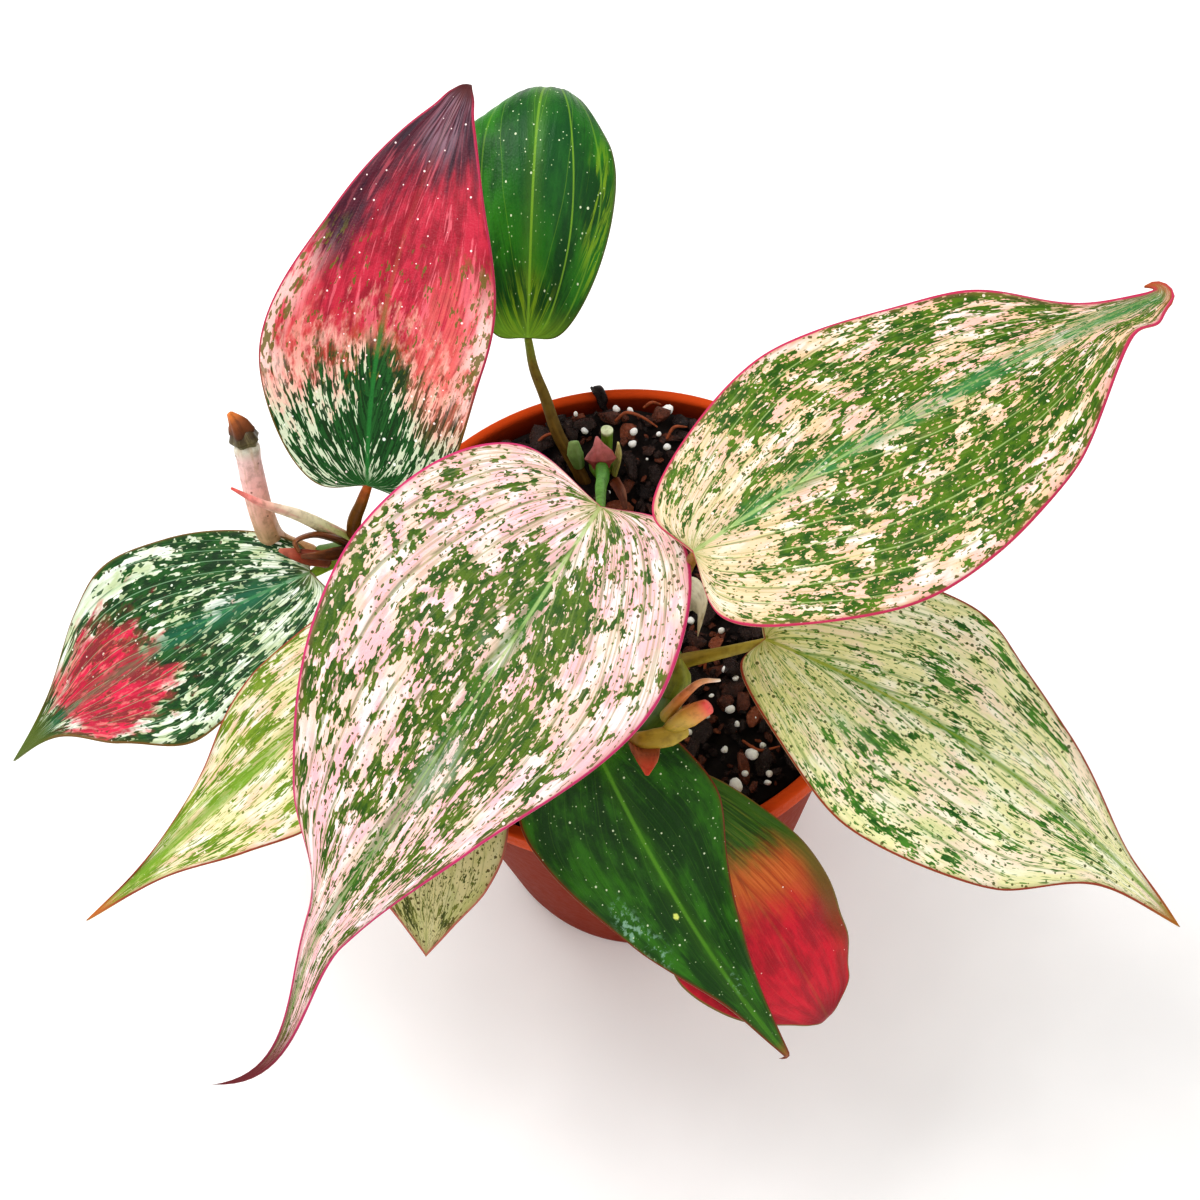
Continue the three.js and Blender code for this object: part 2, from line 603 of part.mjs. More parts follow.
// Soil: a plug that follows the wall, with bark chips and grains of perlite rooted in its top
const innerAt = (z) => {
  const low = WALL + 0.4;
  const high = POT_HEIGHT - RIM_HEIGHT - 3;
  const slope = (POT_WALL_TOP_RADIUS - POT_BASE_RADIUS) / (high - low);
  return POT_BASE_RADIUS - WALL + slope * (z - low);
};
const soilBottom = WALL + 0.4 + GAP;
let soil = toSolid(lathe([
  [0, soilBottom],
  [innerAt(soilBottom) - GAP - 0.1, soilBottom],
  [innerAt(SOIL_TOP - 1.5) - GAP - 0.1, SOIL_TOP - 1.5],
  [innerAt(SOIL_TOP - 1.5) - 1.6, SOIL_TOP],
  [0, SOIL_TOP],
].map((p) => new THREE.Vector2(...p)), 40));

const draw = makeDraw(SEED);
function soilChip(size, flatness, radius, angle, sink) {
  const geometry = new THREE.IcosahedronGeometry(size, 0);
  geometry.scale(1, 0.62 + 0.3 * draw(), flatness);
  geometry.rotateY(0.7 * (draw() - 0.5));
  geometry.rotateX(0.7 * (draw() - 0.5));
  geometry.rotateZ(Math.PI * draw());
  geometry.translate(radius * Math.cos(angle), radius * Math.sin(angle), SOIL_TOP + sink);
  return toSolid(geometry);
}

const BARK_CHIPS = 36;
const PERLITE_GRAINS = 26;
const TURN = Math.PI * (3 - Math.sqrt(5));
for (let i = 0; i < BARK_CHIPS; i += 1) {
  const size = 3 + 2.4 * draw();
  const radius = 41 * Math.sqrt((i + 0.5) / BARK_CHIPS);
  soil = soil.add(soilChip(size, 0.5, radius, i * TURN, 0.3 + 0.9 * draw()));
}
for (let i = 0; i < PERLITE_GRAINS; i += 1) {
  const size = 1.2 + 0.7 * draw();
  const radius = 43 * Math.sqrt((i + 0.5) / PERLITE_GRAINS);
  soil = soil.add(soilChip(size, 0.9, radius, i * TURN + 1.1, 1.4 + 0.6 * draw()));
}
const SOIL_HOLES = ['front_vine', 'back_vine', 'left_vine', 'back_leaf_petiole', 'lower_left_leaf_petiole'];
for (const name of SOIL_HOLES) {
  soil = soil.subtract(cutters[name]);
}
keepPiece('pot', 0xb0502c, pot, pot);
keepPiece('soil', 0x2a1c16, largest(soil), soil);

// The plant and its pot as named pieces
const plant = new THREE.Group();
for (const [name, solid] of Object.entries(solids)) {
  const material = new THREE.MeshStandardMaterial({ color: colors[name], roughness: name === 'pot' ? 0.35 : 0.6 });
  const mesh = new THREE.Mesh(toGeometry(solid), material);
  mesh.name = name;
  plant.add(mesh);
}

export default plant;
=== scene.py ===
import math

import bmesh
import bpy
import numpy as np
from mathutils import Matrix, Vector


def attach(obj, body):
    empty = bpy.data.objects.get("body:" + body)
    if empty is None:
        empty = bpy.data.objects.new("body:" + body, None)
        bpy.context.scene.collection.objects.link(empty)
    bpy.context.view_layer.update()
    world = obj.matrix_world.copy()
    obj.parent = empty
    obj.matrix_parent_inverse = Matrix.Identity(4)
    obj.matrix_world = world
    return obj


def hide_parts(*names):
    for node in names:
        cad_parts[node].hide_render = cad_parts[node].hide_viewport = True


# The looks of a potted trailing philodendron with variegated leaves.
# Sizes are in millimetres here and turned to metres when a mesh is made.

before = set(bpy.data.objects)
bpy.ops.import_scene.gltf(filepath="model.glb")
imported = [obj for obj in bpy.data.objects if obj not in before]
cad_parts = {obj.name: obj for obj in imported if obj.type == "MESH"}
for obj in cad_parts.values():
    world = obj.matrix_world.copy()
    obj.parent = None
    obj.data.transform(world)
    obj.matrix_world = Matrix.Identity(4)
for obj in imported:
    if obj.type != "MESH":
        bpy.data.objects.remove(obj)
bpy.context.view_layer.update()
MM = 0.001

POT_HEIGHT = 98
POT_BASE_RADIUS = 33
POT_WALL_TOP_RADIUS = 49
RIM_RADIUS = 52.5
RIM_HEIGHT = 6
RIM_WIDTH = 2.4
WALL = 1.3
SOIL_TOP = 93.5
BLADE_THICKNESS = 0.5
FULL_TURN = 2 * math.pi


# Meshes

def add_object(name, data):
    thing = bpy.data.objects.new(name, data)
    bpy.context.scene.collection.objects.link(thing)
    return thing


def make_object(name, verts_mm, faces, material, smooth=True):
    mesh = bpy.data.meshes.new(name)
    mesh.from_pydata((np.asarray(verts_mm) * MM).tolist(), [], faces)
    mesh.update()
    mesh.materials.append(material)
    if smooth:
        mesh.polygons.foreach_set("use_smooth", [True] * len(mesh.polygons))
    return add_object(name, mesh)


def add_vector(piece, name, values):
    layer = piece.data.attributes.new(name, "FLOAT_VECTOR", "POINT")
    layer.data.foreach_set("vector", np.asarray(values, dtype=np.float32).ravel())


def add_float(piece, name, values):
    layer = piece.data.attributes.new(name, "FLOAT", "POINT")
    layer.data.foreach_set("value", np.asarray(values, dtype=np.float32).ravel())


def bake(piece):
    """Applies the piece's modifiers."""
    graph = bpy.context.evaluated_depsgraph_get()
    mesh = bpy.data.meshes.new_from_object(piece.evaluated_get(graph), depsgraph=graph)
    piece.modifiers.clear()
    piece.data = mesh
    mesh.polygons.foreach_set("use_smooth", [True] * len(mesh.polygons))
    mesh.update()


def weld(piece, distance_mm):
    """Joins vertices that lie on each other, such as those of a leaf's margin."""
    piece.modifiers.new("merge", "WELD").merge_threshold = distance_mm * MM
    bake(piece)


def closed_rings(count, sides, outward=True):
    """Faces of count rings of points, with a centre point before the first ring and after the last."""
    faces = []
    last = 1 + (count - 1) * sides
    for j in range(sides):
        k = (j + 1) % sides
        faces.append((0, 1 + k, 1 + j))
        for a in range(1, last, sides):
            faces.append((a + j, a + k, a + sides + k, a + sides + j))
        faces.append((last + sides, last + j, last + k))
    if not outward:
        faces = [(face[0], *face[:0:-1]) for face in faces]
    return faces


def stand_in(piece, *nodes):
    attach(piece, "root")
    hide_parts(*nodes)


def loose_on_soil(piece, tones):
    """A piece that only the scene has. Its tones steer its colour."""
    add_float(piece, "tone", tones)
    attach(piece, "root")


# Materials

def srgb(text):
    """A colour such as #d04020 as linear red, green, blue and alpha."""
    def linear(c):
        return c / 12.92 if c <= 0.04045 else ((c + 0.055) / 1.055) ** 2.4
    return (*(linear(int(text[k:k + 2], 16) / 255) for k in (1, 3, 5)), 1)


class Value:
    """A node's output that can be added, multiplied and so on like a number."""

    def __init__(self, paint, socket):
        self.paint, self.socket = paint, socket

    def other(self, output):
        return Value(self.paint, self.socket.node.outputs[output])

    def __add__(self, b):
        return self.paint.math("ADD", self, b)

    def __sub__(self, b):
        return self.paint.math("SUBTRACT", self, b)

    def __rsub__(self, a):
        return self.paint.math("SUBTRACT", a, self)

    def __mul__(self, b):
        return self.paint.math("MULTIPLY", self, b)

    def __truediv__(self, b):
        return self.paint.math("DIVIDE", self, b)


class Paint:
    """A small helper that builds a node material step by step."""

    def __init__(self, name):
        self.material = bpy.data.materials.new(name)
        self.material.use_nodes = True
        self.tree = self.material.node_tree
        self.tree.nodes.clear()
        result = self.tree.nodes.new("ShaderNodeOutputMaterial")
        self.bsdf = self.tree.nodes.new("ShaderNodeBsdfPrincipled")
        self.tree.links.new(self.bsdf.outputs[0], result.inputs[0])

    def put(self, socket, value):
        """Links a value to a socket, or sets the socket to a colour or a number."""
        if isinstance(value, Value):
            self.tree.links.new(value.socket, socket)
        elif isinstance(value, str):
            socket.default_value = srgb(value)
        elif value is not None:
            socket.default_value = value

    def node(self, kind, inputs=None, output=0, **settings):
        """Adds a node and hands back one of its outputs."""
        node = self.tree.nodes.new(f"ShaderNode{kind}")
        for key, setting in settings.items():
            setattr(node, key, setting)
        for key, value in (inputs or {}).items():
            self.put(node.inputs[key], value)
        return Value(self, node.outputs[output])

    def attr(self, name, output="Vector"):
        return self.node("Attribute", output=output, attribute_name=name)

    def split(self, vector):
        x = self.node("SeparateXYZ", {0: vector})
        return x, x.other(1), x.other(2)

    def join(self, x, y, z):
        return self.node("CombineXYZ", {0: x, 1: y, 2: z})

    def math(self, operation, a, b=0, clamp=False):
        return self.node("Math", {0: a, 1: b}, operation=operation, use_clamp=clamp)

    def clamp(self, a):
        return self.math("ADD", a, clamp=True)

    def smooth(self, x, low, high, to_low=0, to_high=1):
        """A soft step from to_low at low to to_high at high."""
        ends = {"From Min": low, "From Max": high, "To Min": to_low, "To Max": to_high}
        return self.node("MapRange", {"Value": x, **ends}, interpolation_type="SMOOTHSTEP")

    def mix(self, share, a, b, blend="MIX"):
        return self.node("Mix", {0: share, 6: a, 7: b}, 2, data_type="RGBA", blend_type=blend)

    def coat(self, share, tint):
        """Covers the colour so far with a share of another."""
        self.color = self.mix(share, self.color, tint)

    def ramp(self, share, stops):
        """Colours at places from 0 to 1, blended in between."""
        value = self.node("ValToRGB", {0: share})
        elements = value.socket.node.color_ramp.elements
        colors = [srgb(color) for color in stops.values()]
        elements[0].color, elements[1].color = colors[0], colors[-1]
        for place, color in list(zip(stops, colors))[1:-1]:
            elements.new(place).color = color
        return value

    def millimetres(self):
        """The object's own coordinates."""
        return self.node("VectorMath", {0: self.node("TexCoord", output="Object"), "Scale": 1 / MM},
                         operation="SCALE")

    def moved(self, vector, scale, shift):
        return self.node("VectorMath", {0: vector, 1: scale, 2: shift}, operation="MULTIPLY_ADD")

    def noise(self, vector, scale=1, detail=2, rough=0.5, twist=0):
        return self.node("TexNoise", {"Vector": vector, "Scale": scale, "Detail": detail,
                                      "Roughness": rough, "Distortion": twist})

    def cells(self, vector):
        distance = self.node("TexVoronoi", {"Vector": vector, "Scale": 1}, "Distance")
        return distance, distance.other("Color")

    def bump(self, height, strength, distance):
        return self.node("Bump", {"Strength": strength, "Distance": distance, "Height": height})

    def finish(self, rough, normal=None, **values):
        inputs = {"Base_Color": self.color, "Roughness": rough, "Normal": normal, **values}
        for key, value in inputs.items():
            self.put(self.bsdf.inputs[key.replace("_", " ")], value)
        return self.material


# Leaf form

# Where a margin's points lie on the way from the joint to the tip
STATIONS = np.array([0, 0.12, 0.38, 0.66, 0.85, 1])
MIDRIB_POWER = 1.55
VEIN_RUN = 1.2

# base and tip are the ends of the leaf's chord. left and right are points of the margins, (along, out) from
# the chord. left_end and right_end widen them near the tip by (place, reach, amount). arch, sweep and hook
# bend the midrib up and sideways, fold and cup (in degrees and mm) the two halves, and wave the margins.
# roll and hooked are (start, radius, turn) of what the tip does.
LEAVES = {
    "front_leaf": dict(
        base=(-2, -11, 160), tip=(-87, -87.7, 98),
        left=[(-3.6, 13.1), (21.5, 30.4), (63, 16.5), (92, 5.6)],
        right=[(-2.4, 17.4), (28, 37), (74, 20.5), (93, 3)], arch=6, sweep=3, hook=6, fold=(5, 5),
        wave=1.2, waves=3),
    "right_leaf": dict(
        base=(13, -27, 167.94), tip=(109.4, 20.9, 157.9),
        left=[(-1.8, 10), (30, 24), (68, 16.8), (91, 4.2)],
        right=[(-3.2, 13.4), (27, 32.4), (64, 25), (92, 6.2)], left_end=[(104.6, 2, 0.5)],
        right_end=[(98.2, 3.4, 2.4), (103, 3.2, 1.2)], hooked=(103, 1.5, 148), arch=6, fold=(5, 5),
        wave=1.2, waves=3),
    "lower_right_leaf": dict(
        base=(25, -29, 135), tip=(96, -80, 95), left=[(-6, 12), (30, 23.2), (57, 13), (80, 3.2)],
        right=[(-2.4, 7.2), (26, 26.6), (60, 21.2), (78, 6.6)], arch=5, sweep=4, fold=(4, 4), wave=1,
        waves=3),
    "red_leaf": dict(
        base=(-46, 18, 129), tip=(-16.2, 78, 172), left=[(-0.6, 9.3), (20, 23), (48, 15.5), (66, 8.2)],
        right=[(-2, 12), (26, 22), (50, 18), (68, 8)], left_end=[(76.5, 2.4, 0.7)],
        right_end=[(77, 2.2, 0.6)], arch=4, sweep=4, fold=(5, 5), wave=1, waves=2,
        roll=(0.975, -1.2, 80)),
    "back_leaf": dict(
        base=(-12, 54, 118), tip=(0, 112, 104), left=[(0.3, 6.8), (19, 16), (40, 13), (52, 5)],
        right=[(0.4, 6.2), (15, 15.7), (35, 12.3), (50, 4.2)], arch=30.3, skew=0.4, cup=(-6, -7),
        far_cup=1.6, fold=(4, 4), wave=0.8, waves=2),
    "left_leaf": dict(
        base=(-60, 10, 112), tip=(-129, -2, 70), left=[(-4, 10), (26, 24), (50, 15.2), (68, 3)],
        right=[(0.5, 6.4), (28, 21.6), (54, 18.6), (67, 5.5)], arch=5, sweep=-1, fold=(4, 4), wave=1,
        waves=3),
    "lower_left_leaf": dict(
        base=(-44, -13, 122), tip=(-113, -44, 80), left=[(-3, 9), (24, 19), (46, 13), (66, 4)],
        right=[(-3, 9), (22, 15.5), (46, 7.5), (66, 1.5)], arch=5, sweep=3, fold=(8, 8), wave=0.8,
        waves=3),
    "under_leaf": dict(
        base=(-35, -22, 116), tip=(-47, -59, 76), left=[(-3, 8), (20, 15), (37, 12), (48, 5)],
        right=[(-3, 8), (20, 16), (37, 12), (48, 5)], arch=5, fold=(5, 5), wave=0.8, waves=2),
    "green_leaf": dict(
        base=(-9, -38, 120), tip=(22, -87.6, 67), left=[(-2, 8), (18, 17), (42, 8.8), (60, 4.2)],
        right=[(-4, 9), (9, 20), (36, 12), (58, 3.4)], hooked=(75.8, -1.1, 130), arch=6, sweep=-4,
        fold=(6, 6), wave=1, waves=3, roll=(0.95, -3, 70)),
    "blushed_leaf": dict(
        base=(3, -44, 110), tip=(30.2, -77.6, 61), left=[(2, 6), (24, 14), (44, 13.2), (55, 9.9)],
        right=[(-1, 7), (24, 20.4), (43, 18.4), (55, 10.5)], left_end=[(60.5, 3.2, 2.3)],
        right_end=[(62, 3, 0.8)], arch=6, fold=(4, -4), wave=0.8, waves=2, roll=(0.965, -2, 100)),
}


def unit(v):
    v = np.asarray(v, dtype=float)
    return v / np.linalg.norm(v)


def units(v):
    return v / np.linalg.norm(v, axis=-1, keepdims=True)


def clip01(x):
    return np.clip(x, 0, 1)


def margin(side, length, u):
    """Points on a smooth curve from the joint through the side's four points to the tip."""
    points = np.array([(0, 0)] + list(side) + [(length, 0)], dtype=float)
    step = np.diff(STATIONS)
    rate = np.diff(points, axis=0) / step[:, None]
    slope = np.zeros_like(points)
    slope[0] = rate[0]
    slope[-1] = rate[-1]
    for k in range(1, len(points) - 1):
        slope[k] = (rate[k - 1] * step[k] + rate[k] * step[k - 1]) / (step[k - 1] + step[k])
    i = np.clip(np.searchsorted(STATIONS, u, side="left") - 1, 0, len(points) - 2)
    h = step[i][..., None]
    t = ((u - STATIONS[i]) / step[i])[..., None]
    return ((2 * t ** 3 - 3 * t ** 2 + 1) * points[i] + (t ** 3 - 2 * t ** 2 + t) * h * slope[i]
            + (3 * t ** 2 - 2 * t ** 3) * points[i + 1] + (t ** 3 - t ** 2) * h * slope[i + 1])


def leaf_axes(leaf):
    base = np.array(leaf["base"], dtype=float)
    along = np.array(leaf["tip"], dtype=float) - base
    length = np.linalg.norm(along)
    along = along / length
    up = np.array([0, 0, 1.0])
    up = unit(up - along * up.dot(along))
    return base, along, np.cross(up, along), up, length


def half_width(leaf):
    return 0.5 * (leaf["left"][1][1] + leaf["right"][1][1])


HOOK_START = 0.7
# Makes late ** 2 * (1 - late) reach 1
HOOK_SCALE = 6.75


def midrib_offset(leaf, q):
    """How far the midrib lies above and beside the chord, at the share q of its length."""
    late = np.clip((q - HOOK_START) / (1 - HOOK_START), 0, None)
    arch = 4 * q * (1 - q)
    lift = leaf["arch"] * arch * (1 + leaf.get("skew", 0) * (2 * q - 1))
    hook = leaf.get("hook", 0) * HOOK_SCALE * late ** 2 * (1 - late)
    return lift, leaf.get("sweep", 0) * arch + hook


SLOPE_STEP = 0.001
FOLD_ROUNDING = 1.5
WAVE_PHASES = (0.2, 0.65)
FAR_CUP_START = 0.45
FAR_CUP_FULL = 0.8


def blade_surface(leaf, u, v):
    """The blade's middle surface, with flat coordinates, at arrays u (base to tip) and v (across)."""
    base, along, across, up, length = leaf_axes(leaf)
    edges = []
    for side in ("left", "right"):
        line = margin(leaf[side], length, u)
        for place, reach, amount in leaf.get(f"{side}_end", ()):
            line[..., 1] += amount * np.exp(-((line[..., 0] - place) / reach) ** 2)
        edges.append(line)
    is_left = v >= 0
    edge = np.where(is_left[..., None], *edges)
    share = np.abs(v)
    reach = edge[..., 1] * share
    x = length * u ** MIDRIB_POWER * (1 - share) + edge[..., 0] * share
    y = np.where(is_left, 1, -1) * reach
    q = clip01(x / length)
    before, after = np.maximum(q - SLOPE_STEP, 0), np.minimum(q + SLOPE_STEP, 1)
    lift, shift = midrib_offset(leaf, q)
    lift0, shift0 = midrib_offset(leaf, before)
    lift1, shift1 = midrib_offset(leaf, after)
    run = (after - before) * length
    rise = (lift1 - lift0) / run
    bend = (shift1 - shift0) / run
    direction = along + rise[..., None] * up + bend[..., None] * across
    point = base + np.maximum(x, 0)[..., None] * along + lift[..., None] * up + shift[..., None] * across
    point = point + np.minimum(x, 0)[..., None] * direction
    direction = units(direction)
    side = units(across - direction * (direction @ across)[..., None])
    normal = np.cross(direction, side)
    fold = np.radians(np.where(is_left, *leaf["fold"]))
    cup = np.where(is_left, *leaf.get("cup", (0, 0)))
    far = clip01((q - FAR_CUP_START) / (FAR_CUP_FULL - FAR_CUP_START))
    cup = cup * (1 + leaf.get("far_cup", 0) * far)
    reach = np.abs(y)
    height = (np.hypot(reach, FOLD_ROUNDING) - FOLD_ROUNDING) * np.sin(fold)
    height = height + cup * (reach / half_width(leaf)) ** 2
    phase = leaf["waves"] * u + np.where(is_left, *WAVE_PHASES)
    height = height + leaf["wave"] * np.sin(FULL_TURN * phase) * share ** 2 * np.sin(np.pi * u)
    out = y * np.cos(fold)
    point = point + out[..., None] * side + height[..., None] * normal
    return point, x, y, edge, length


def rolled(along, across, start, radius, turn):
    """Rolls what lies beyond start round an axis at the distance radius, by turn degrees at most."""
    over = np.maximum(along - start, 0)
    theta = np.minimum(over / radius, math.radians(turn))
    rest = over - theta * radius
    new_along = start + (radius - across) * np.sin(theta) + rest * np.cos(theta)
    new_across = radius - (radius - across) * np.cos(theta) + rest * np.sin(theta)
    far = along > start
    return np.where(far, new_along, along), np.where(far, new_across, across)


def roll_tip(leaf, points, start, radius, turn):
    """Rolls the leaf beyond the share start of its chord round an axis across it, upward if radius > 0."""
    base, along, across, up, length = leaf_axes(leaf)
    rel = points - base
    a, b, c = rel @ along, rel @ across, rel @ up
    side = math.copysign(1, radius)
    step = 0.01
    lift = midrib_offset(leaf, np.array(start))[0]
    slope = (midrib_offset(leaf, np.array(start + step))[0] - lift) / (step * length)
    start = start * length
    height = (c - lift - slope * np.maximum(a - start, 0)) * side
    new_a, height = rolled(a, height, start, abs(radius), turn)
    c = np.where(a > start, lift + slope * (new_a - start) + side * height, c)
    return base + new_a[..., None] * along + b[..., None] * across + c[..., None] * up


def hook_tip(leaf, points, start, radius, turn):
    """Bends the leaf beyond start, in mm, in its own plane, to the left (to the right if radius < 0)."""
    base, along, across, up, _ = leaf_axes(leaf)
    rel = points - base
    side = math.copysign(1, radius)
    a, b = rolled(rel @ along, side * (rel @ across), start, abs(radius), turn)
    return base + a[..., None] * along + (side * b)[..., None] * across + (rel @ up)[..., None] * up


BLADE_ROWS = 150
BLADE_COLUMNS = 64
QUILT = 0.14
QUILT_VEINS = 5.5
CRINKLE = 0.12
CRINKLE_WAVES = 5
MARGIN_CROWDING = 0.95
NORMAL_STEP = 0.003
GROOVE = 0.25
RIB = 0.8
MARGIN_WELD = 0.02
SMALL_SHARE = 0.42


def blade_faces():
    """Quads of the upper and lower side, and those that join them along both margins."""
    width = BLADE_COLUMNS + 1
    count = (BLADE_ROWS + 1) * width
    faces = []
    for i in range(BLADE_ROWS):
        for a in range(i * width, i * width + BLADE_COLUMNS):
            b = a + width
            faces.append((a, b, b + 1, a + 1))
            faces.append((count + a, count + a + 1, count + b + 1, count + b))
        right = i * width
        left = right + BLADE_COLUMNS
        faces.append((left, left + width, count + left + width, count + left))
        faces.append((right, count + right, count + right + width, right + width))
    return faces


def blade_piece(name, leaf, material, seed, areas):
    """A fine blade with sunken veins, a ribbed underside and the coordinates its material needs.

    areas are three lists (spots, marks and tones) of round areas that steer the colours. Each area is
    (x, y, size along, size across, amount).
    """
    cols = np.linspace(-1, 1, BLADE_COLUMNS + 1)
    cols = np.sign(cols) * np.abs(cols) ** MARGIN_CROWDING
    u, v = np.meshgrid(np.linspace(0, 1, BLADE_ROWS + 1), cols, indexing="ij")
    point, x, y, edge, length = blade_surface(leaf, u, v)
    share = np.abs(v)
    step = NORMAL_STEP
    uc, vc = np.clip(u, 0.012, 0.988), np.clip(v, -0.99, 0.99)
    du = blade_surface(leaf, uc + step, vc)[0] - blade_surface(leaf, uc - step, vc)[0]
    dv = blade_surface(leaf, uc, vc + step)[0] - blade_surface(leaf, uc, vc - step)[0]
    normal = units(np.cross(du, dv))
    course = u - VEIN_RUN * share
    fade = clip01(u / 0.12) * clip01((1 - u) / 0.12) * clip01(np.abs(y) / 2.5) * clip01((1 - share) / 0.08)
    relief = QUILT * (np.abs(np.sin(np.pi * course * QUILT_VEINS)) ** 0.6 - 0.6) * fade
    draw = np.random.default_rng(seed)
    crinkle = np.zeros_like(u)
    for _ in range(CRINKLE_WAVES):
        a, b, c = draw.uniform(2, 6), draw.uniform(1, 4), draw.uniform(0, 6.28)
        crinkle += CRINKLE * np.sin(FULL_TURN * (a * u + b * v * 0.5) + c) * share
    relief = relief + crinkle * np.sin(np.pi * u)
    groove = GROOVE * np.exp(-(y / 0.8) ** 2) * clip01(u / 0.05) * clip01((1 - u) / 0.2)
    rib = RIB * np.exp(-y ** 2) * (1 - u) * clip01(u / 0.03)
    thin = 0.5 * BLADE_THICKNESS * (0.5 + 0.5 * clip01((1 - share) / 0.02))
    sides = []
    for height in (relief + thin - groove, relief - thin - rib):
        side = point + height[..., None] * normal
        if "roll" in leaf:
            side = roll_tip(leaf, side, *leaf["roll"])
        if "hooked" in leaf:
            side = hook_tip(leaf, side, *leaf["hooked"])
        sides.append(side.reshape(-1, 3))
    piece = make_object(name, np.concatenate(sides), blade_faces(), material)
    steer = np.zeros(u.shape + (3,))
    for k, group in enumerate(areas):
        for area_x, area_y, size_x, size_y, amount in group:
            steer[..., k] += amount * np.exp(-((x - area_x) / size_x) ** 2 - ((y - area_y) / size_y) ** 2)
    slanted = course * half_width(leaf) / VEIN_RUN
    layers = {
        "vein": np.stack([slanted, x + 0.7 * np.abs(y), 0.12 * y + seed * 13.7], -1),
        "zone": np.stack([(1 - share) * np.abs(edge[..., 1]), y, x / length], -1),
        "flat": np.stack([x, y, np.full_like(u, seed * 5.3)], -1),
        "areas": steer}
    for key, values in layers.items():
        add_vector(piece, key, np.concatenate([values.reshape(-1, 3)] * 2))
    add_float(piece, "under", np.repeat([0, 1], u.size))
    weld(piece, MARGIN_WELD)
    return piece


# Leaf materials

class LeafPaint(Paint):
    """Colours that follow the veins. Lengths are in millimetres on the blade.

    rim is the distance from the margin, side the one from the midrib, out the same with its sign, and
    run the share of the length from base to tip.
    """

    def __init__(self, name):
        super().__init__(name)
        self.vein = self.attr("vein")
        self.flat = self.attr("flat")
        self.rim, self.out, self.run = self.split(self.attr("zone"))
        self.spot, self.mark, self.tone = self.split(self.attr("areas"))
        self.side = self.math("ABSOLUTE", self.out)

    def stretch(self, vector, x, y, shift=0):
        return self.moved(vector, (x, y, 1), (shift, shift * 0.7, shift * 1.3))

    def streak(self, across, along, detail=3, rough=0.55, shift=0, twist=0):
        return self.noise(self.stretch(self.vein, across, along, shift), 1, detail, rough, twist)

    def patches(self, across, along, shift, low, high, detail=4):
        return self.smooth(self.streak(across, along, detail, 0.6, shift), low, high)

    def field(self, across, along, bias, cluster, shift):
        """Streaks that gather in clusters: inside where it passes 0.5."""
        fine = self.streak(across, along, 4, 0.6, shift, 0.35)
        wide = self.streak(across * 0.3, along * 0.4, 1, 0.5, shift + 7.3)
        return fine + (wide - 0.5) * cluster + bias

    def fragments(self, across, along, density, shift=0):
        """Shreds along the veins with smaller ones between them: inside where it passes 0.5."""
        coarse = self.streak(across, along, 1.5, 0.45, shift, 0.3)
        small = self.streak(across * 2.7, along * 2.6, 1.5, 0.5, shift + 3.1, 0.25)
        return coarse * (1 - SMALL_SHARE) + small * SMALL_SHARE + density

    def cut(self, value, soft):
        return self.smooth(value, 0.5 - soft, 0.5 + soft)

    def dots(self, scale, radius, share, shift):
        """Round dots of uneven size in a share of the cells."""
        distance, color = self.cells(self.stretch(self.flat, scale, scale, shift))
        pick, size, _ = self.split(color)
        inside = (size + 0.5) * (radius * scale) - distance
        return self.smooth(inside, 0, 0.25 * radius * scale) * self.smooth(pick, share, share - 0.02)

    def lines(self, count, width, half, offset=0):
        """Thin lines along the main side veins."""
        course = self.split(self.vein)[0]
        wander = (self.noise(self.flat, 0.12, 1) - 0.5) * 0.1
        turns = course * (VEIN_RUN / half * count) + wander + offset
        away = self.math("ABSOLUTE", self.math("FRACT", turns + 0.5) - 0.5)
        return self.smooth(away, width, width * 0.25) * self.smooth(self.rim, 0.5, 5)

    def edged(self, edge, width, inner=None):
        """A coloured margin, and a fainter one inside it."""
        place = self.rim + (self.noise(self.flat, 0.3, 2) - 0.5) * (0.5 * width)
        if inner is not None:
            self.coat(self.smooth(place, width * 3, width * 0.9) * 0.35, inner)
        self.coat(self.smooth(place, width * 1.1, width * 0.55), edge)

    def surface(self, under, rough=0.5, gloss=0.22):
        """The underside's colour, fine streaks and cells in the relief, and an uneven soft gloss."""
        cells = self.cells(self.stretch(self.flat, 2.4, 2.4))[0]
        height = self.streak(2.2, 0.1, 3, 0.6, 3) * 0.8 + cells * 0.35
        self.coat(self.attr("under", "Fac") * 0.7, under)
        uneven = (self.noise(self.flat, 0.35, 3) - 0.5) * 0.25 + rough
        return self.finish(self.clamp(uneven), self.bump(height, 0.35, 0.0004), Specular_IOR_Level=gloss)


SIDE_VEINS = 5.5


